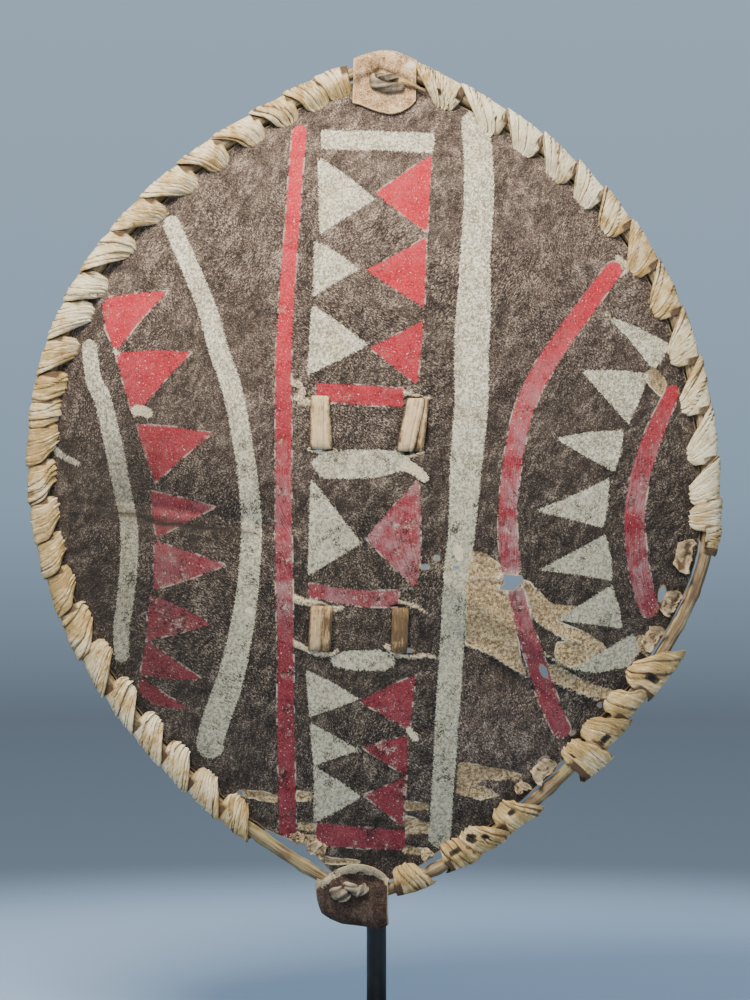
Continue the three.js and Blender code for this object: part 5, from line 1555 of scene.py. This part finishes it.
def rawhide_material(name, cream, yellow, shade, crease_shade, far=0.72):
    """Dried rawhide strip: streaks along it, painted shade in the creases, darker edges."""
    look = Look(name)
    grain = look.attribute("grain", "Vector")
    tone, crease, edge = look.attribute("tone"), look.attribute("fold"), look.attribute("edge")
    streaks = look.streaks(grain, (0.045, 0.55, 1), (0, 0, 0), 5, 0.68, 0.5)
    fibres = look.streaks(grain, (0.1, 1.9, 1), (5, 9, 3), 4, 0.68, 0.2)
    cloud = look.noise(look.place, 46, 4, 0.6, 0.5)
    dirt = look.noise(look.place, 170, 5, 0.72, 0.4)
    share = (streaks - 0.5) * 2.4 + (cloud - 0.5) * 2.0
    share = look.math("ADD", share, tone, clamp=True)
    between = tuple(lerp(a, b, 0.45) for a, b in zip(cream, yellow))
    colour = look.ramp(share, (0.0, cream), (0.45, between), (0.8, yellow), (1.0, toned(yellow, far)))
    golden = look.ramp(streaks, (0.36, (0.46, 0.25, 0.07)), (0.55, (0.7, 0.44, 0.15)),
                       (0.7, (0.8, 0.6, 0.3)))
    colour = look.mix(look.attribute("gold"), colour, golden)
    lines = look.step(fibres, 0.44, 0.35) * look.step(cloud, 0.4, 0.6, 0.35, 0.85)
    colour = look.mix(lines, colour, toned(shade, 1.7))
    border = look.step(edge + (dirt - 0.5) * 5, 0.1, 2.2, 0.8, 0.0)
    colour = look.mix(border, colour, toned(yellow, 0.55))
    # painted shade in the creases, dips and hollows, and under a neighbour's edge
    valley = look.step(crease + (dirt - 0.5) * 1.2, 0.28, 0.92, 1.0, 0.0) * crease_shade
    colour = look.mix(valley, colour, toned(shade, 1.25))
    stain = look.step(dirt, 0.54, 0.7) * look.step(cloud, 0.42, 0.62, 0.15, 0.7)
    colour = look.mix(stain, colour, toned(shade, 1.5))
    pale = look.step(streaks, 0.5, 0.6) * look.step(cloud, 0.6, 0.4, 0.0, 0.55)
    pale *= look.step(tone, 0.2, 0.6, 1.0, 0.1)
    colour = look.mix(pale, colour, toned(cream, 1.14, 0.03))
    # painted shade inside the holes and tears
    colour = look.mix(look.attribute("pit"), colour, (0.01, 0.006, 0.003))
    height = streaks * 0.7 + fibres * 0.35 + dirt * 0.3
    normal = look.bump(height, 0.9, 0.003)
    return look.finish(colour, look.step(streaks, 0.35, 0.65, 0.62, 0.42), normal, 0.4)


def hoop_material():
    look = Look("hoop_bark")
    grain = look.attribute("grain", "Vector")
    streaks = look.streaks(grain, (0.02, 0.42, 0.42), (0, 0, 0), 5, 0.62, 0.4)
    fine = look.streaks(grain, (0.09, 1.6, 1.6), (3, 5, 1), 3, 0.6)
    cloud = look.noise(look.place, 28, 4, 0.6)
    colour = look.ramp(streaks * 0.65 + cloud * 0.35, (0.34, (0.045, 0.026, 0.012)),
                       (0.48, (0.185, 0.118, 0.055)), (0.6, (0.42, 0.3, 0.155)))
    green = look.attribute("green") * look.step(cloud, 0.42, 0.6)
    colour = look.mix(green * 0.6, colour, (0.3, 0.25, 0.09))
    pale = look.streaks(grain, (0.03, 0.6, 0.6), (40, 0, 0), 4, 0.6)
    colour = look.stain(colour, (0.46, 0.37, 0.24), pale, 0.58, 0.7, 0.8)
    normal = look.bump(streaks + fine * 0.4, 0.7, 0.0014)
    return look.finish(colour, look.step(fine, 0.3, 0.7, 0.78, 0.55), normal, 0.35)


def suede_material(name, dark, mid, light, cut, scuffed):
    look = Look(name)
    fuzz = look.noise(look.place, 720, 3, 0.7)
    cloud = look.noise(look.place, 60, 4, 0.6, 0.6)
    scuff = look.noise(look.place, 190, 5, 0.7, 0.5)
    share = cloud * 0.3 + scuff * 0.3 + fuzz * 0.4
    colour = look.ramp(share, (0.4, dark), (0.5, mid), (0.6, light))
    colour = look.mix(look.step(scuff, 0.56, 0.7) * scuffed, colour, toned(light, 1.4, 0.03))
    colour = look.stain(colour, (0.86, 0.74, 0.58), look.attribute("pale") + scuff * 0.6, 0.55, 1.0, 0.6)
    frayed = (scuff - 0.5) * 0.9
    inside = look.ramp(share, (0.4, (0.2, 0.15, 0.085)), (0.52, (0.46, 0.37, 0.235)),
                       (0.6, (0.66, 0.56, 0.4)))
    colour = look.stain(colour, inside, look.attribute("folded") + frayed, 0.3, 0.7)
    border = look.step(look.attribute("edge") + (scuff - 0.5) * 2, 0.2, 1.7, 0.9, 0.0)
    colour = look.mix(border, colour, cut)
    normal = look.bump(fuzz * 0.6 + scuff, 0.7, 0.0016)
    return look.finish(colour, look.step(fuzz, 0.3, 0.7, 0.95, 0.75), normal, 0.2, Sheen_Weight=0.1)


def stave_material():
    look = Look("stave_wood")
    grain = look.attribute("grain", "Vector")
    streaks = look.streaks(grain, (0.014, 0.55, 0.55), (0, 0, 0), 6, 0.62, 0.5)
    fine = look.streaks(grain, (0.05, 2.2, 2.2), (2, 1, 4), 3, 0.6)
    cloud = look.noise(look.place, 20, 4, 0.6)
    colour = look.ramp(streaks * 0.7 + cloud * 0.3, (0.34, (0.08, 0.045, 0.024)), (0.5, (0.2, 0.12, 0.062)),
                       (0.64, (0.34, 0.225, 0.125)))
    normal = look.bump(streaks + fine * 0.5, 0.6, 0.0012)
    return look.finish(colour, look.step(streaks, 0.35, 0.65, 0.62, 0.46), normal, 0.4)


def steel_material():
    look = Look("black_steel")
    fine = look.noise(look.place, 1400, 2, 0.5)
    cloud = look.noise(look.place, 40, 4, 0.6)
    colour = look.ramp(cloud, (0.35, (0.003, 0.003, 0.0035)), (0.65, (0.006, 0.006, 0.007)))
    dust = look.noise(look.place, 300, 4, 0.7)
    colour = look.stain(colour, (0.05, 0.05, 0.052), dust, 0.6, 0.75, 0.3)
    normal = look.bump(fine, 0.25, 0.0004)
    return look.finish(colour, look.step(cloud, 0.3, 0.7, 0.36, 0.5), normal, 0.5)


# ------------------------------------------------------------------ stage, light and camera
def make_stage():
    mesh = bpy.data.meshes.new("floor")
    turn = np.linspace(0, 2 * math.pi, 96, endpoint=False)
    disc = stacked(FLOOR_RADIUS * np.cos(turn), FLOOR_RADIUS * np.sin(turn), -0.0005)
    mesh.from_pydata(disc.tolist(), [], [tuple(range(96))])
    floor = in_scene("floor", mesh)
    look = Look("pale_floor")
    look.finish((0.30, 0.40, 0.54), 0.85, look.bump(look.noise(look.place, 300, 2, 0.5), 0.05, 0.001), 0.2)
    fading = look.step(look.distance((0, 0, 0)), 0.55 * FLOOR_RADIUS, FLOOR_RADIUS, 1.0, 0.0)
    look.put(look.shader.inputs["Alpha"], fading)
    mesh.materials.append(look.material)

    world = bpy.data.worlds.new("studio")
    bpy.context.scene.world = world
    world.use_nodes = True
    nodes, links = world.node_tree.nodes, world.node_tree.links
    ground = nodes["Background"]
    coordinate = nodes.new("ShaderNodeTexCoord")
    split = nodes.new("ShaderNodeSeparateXYZ")
    spread = nodes.new("ShaderNodeMapRange")
    ramp = nodes.new("ShaderNodeValToRGB")
    links.new(coordinate.outputs["Generated"], split.inputs[0])
    links.new(split.outputs["Z"], spread.inputs["Value"])
    spread.inputs["From Min"].default_value = -0.30
    spread.inputs["From Max"].default_value = 0.30
    links.new(spread.outputs["Result"], ramp.inputs["Fac"])
    links.new(ramp.outputs["Color"], ground.inputs["Color"])
    stops = [(0.0, (0.26, 0.36, 0.48)), (0.24, (0.24, 0.325, 0.42)), (0.30, (0.15, 0.20, 0.26)),
             (0.38, (0.125, 0.16, 0.205)), (0.50, (0.27, 0.375, 0.49)), (0.63, (0.31, 0.42, 0.54)),
             (0.78, (0.34, 0.455, 0.565)), (1.0, (0.37, 0.49, 0.60))]
    fill_ramp(ramp.color_ramp.elements, stops)


def make_light(name, place, target, size, power, colour):
    data = bpy.data.lights.new(name, "AREA")
    data.shape = "DISK"
    data.size, data.energy, data.color = size, power, colour
    lamp = in_scene(name, data)
    lamp.location = place
    lamp.rotation_euler = (Vector(target) - Vector(place)).to_track_quat("-Z", "Y").to_euler()


def make_camera():
    data = bpy.data.cameras.new("camera")
    data.sensor_fit = "VERTICAL"
    data.sensor_height = 36
    data.lens = 108
    data.clip_start = 0.05
    camera = in_scene("camera", data)
    camera.location = (CAMERA_TARGET[0], CAMERA_TARGET[1] - VIEW_DISTANCE / 1000, CAMERA_TARGET[2])
    camera.rotation_euler = (math.pi / 2, 0, 0)
    bpy.context.scene.camera = camera


LASHING = rawhide_material("lashing_rawhide", (0.98, 0.845, 0.565), (0.61, 0.39, 0.138),
                           (0.085, 0.045, 0.018), 1.0)
TAN_RAWHIDE = rawhide_material("tan_rawhide", (0.6, 0.455, 0.265), (0.36, 0.215, 0.09),
                               (0.06, 0.032, 0.014), 0.95)
STRAP_RAWHIDE = rawhide_material("strap_rawhide", (0.8, 0.575, 0.315), (0.38, 0.225, 0.095),
                                 (0.07, 0.038, 0.018), 0.9, 0.4)
TIE_RAWHIDE = rawhide_material("tie_rawhide", (0.5, 0.415, 0.29), (0.23, 0.165, 0.11),
                               (0.055, 0.036, 0.022), 0.9)
STEEL = steel_material()

make_camera()
make_hide()
make_hoop()
make_lashing("wrap_right", "right", LASH_EDGES["lashing_right"], RIGHT_STYLES, "start", 0.4,
             gold=GOLDEN_TURNS, pits=RIGHT_PITS, seed=100)
make_lashing("wrap_left", "left", LASH_EDGES["lashing_left"], LEFT_STYLES, seed=200)
make_lashing("wrap_lower_right", "right", LASH_EDGES["lashing_lower_right"], LOWER_RIGHT_STYLES, "end",
             flare=(7, 0, 3, 10), ragged=2.6, pits=LOWER_RIGHT_PITS, seed=300)
make_lashing("wrap_bottom_right", "right", LASH_EDGES["lashing_bottom_right"], BOTTOM_RIGHT_STYLES, "end",
             ragged=3.2, pits=BOTTOM_RIGHT_PITS, seed=400)
make_lashing("wrap_bottom", "right", LASH_EDGES["lashing_bottom"], BOTTOM_STYLES, "end", ragged=2.0, seed=500)
for number, values in enumerate(REMNANTS, 1):
    make_remnant(number, *values, seed=600 + 10 * number)
TOP_FRONT = make_patch(
    "top_tab", "top_patch", 1, -27, 36, False, TOP_TAB_RIM,
    suede_material("top_suede", (0.115, 0.062, 0.030), (0.42, 0.255, 0.130), (0.80, 0.575, 0.35),
                   (0.62, 0.40, 0.19), 0.4), 700, TOP_TAB_EDGE)
BOTTOM_FRONT = make_patch(
    "bottom_tab", "bottom_patch", -1, -42, 30, True, BOTTOM_TAB_RIM,
    suede_material("bottom_suede", (0.016, 0.009, 0.006), (0.055, 0.032, 0.022), (0.135, 0.088, 0.064),
                   (0.40, 0.29, 0.17), 0.15), 720, BOTTOM_TAB_EDGE)
make_tie("top_knot", "top_tie", 1, 396, 7, 13, 3.6, TOP_STRANDS, ((18.5, 401.2), (45, 392.0)), TOP_FRONT,
         0.45, 3)
make_tie("bottom_knot", "bottom_tie", -1, 396, -10, 13, 3.6, BOTTOM_STRANDS, None, BOTTOM_FRONT, 0.0, 5)
make_grip("grip_upper", "grip_strap_upper", *GRIPS["grip_strap_upper"], UPPER_BANDS, 800)
make_grip("grip_lower", "grip_strap_lower", *GRIPS["grip_strap_lower"], LOWER_BANDS, 830)
make_stave()
make_stand()
make_stage()
make_light("key", (-0.45, -1.0, 2.0), (0, 0, 0.66), 0.8, 72, (1.0, 0.93, 0.82))
make_light("front_fill", (0.7, -3.2, 1.1), (0, 0, 0.5), 1.8, 24, (0.97, 0.98, 1.0))
make_light("back_light", (0.6, 2.6, 2.4), (0, 0, 0.6), 1.8, 36, (1.0, 0.99, 0.97))
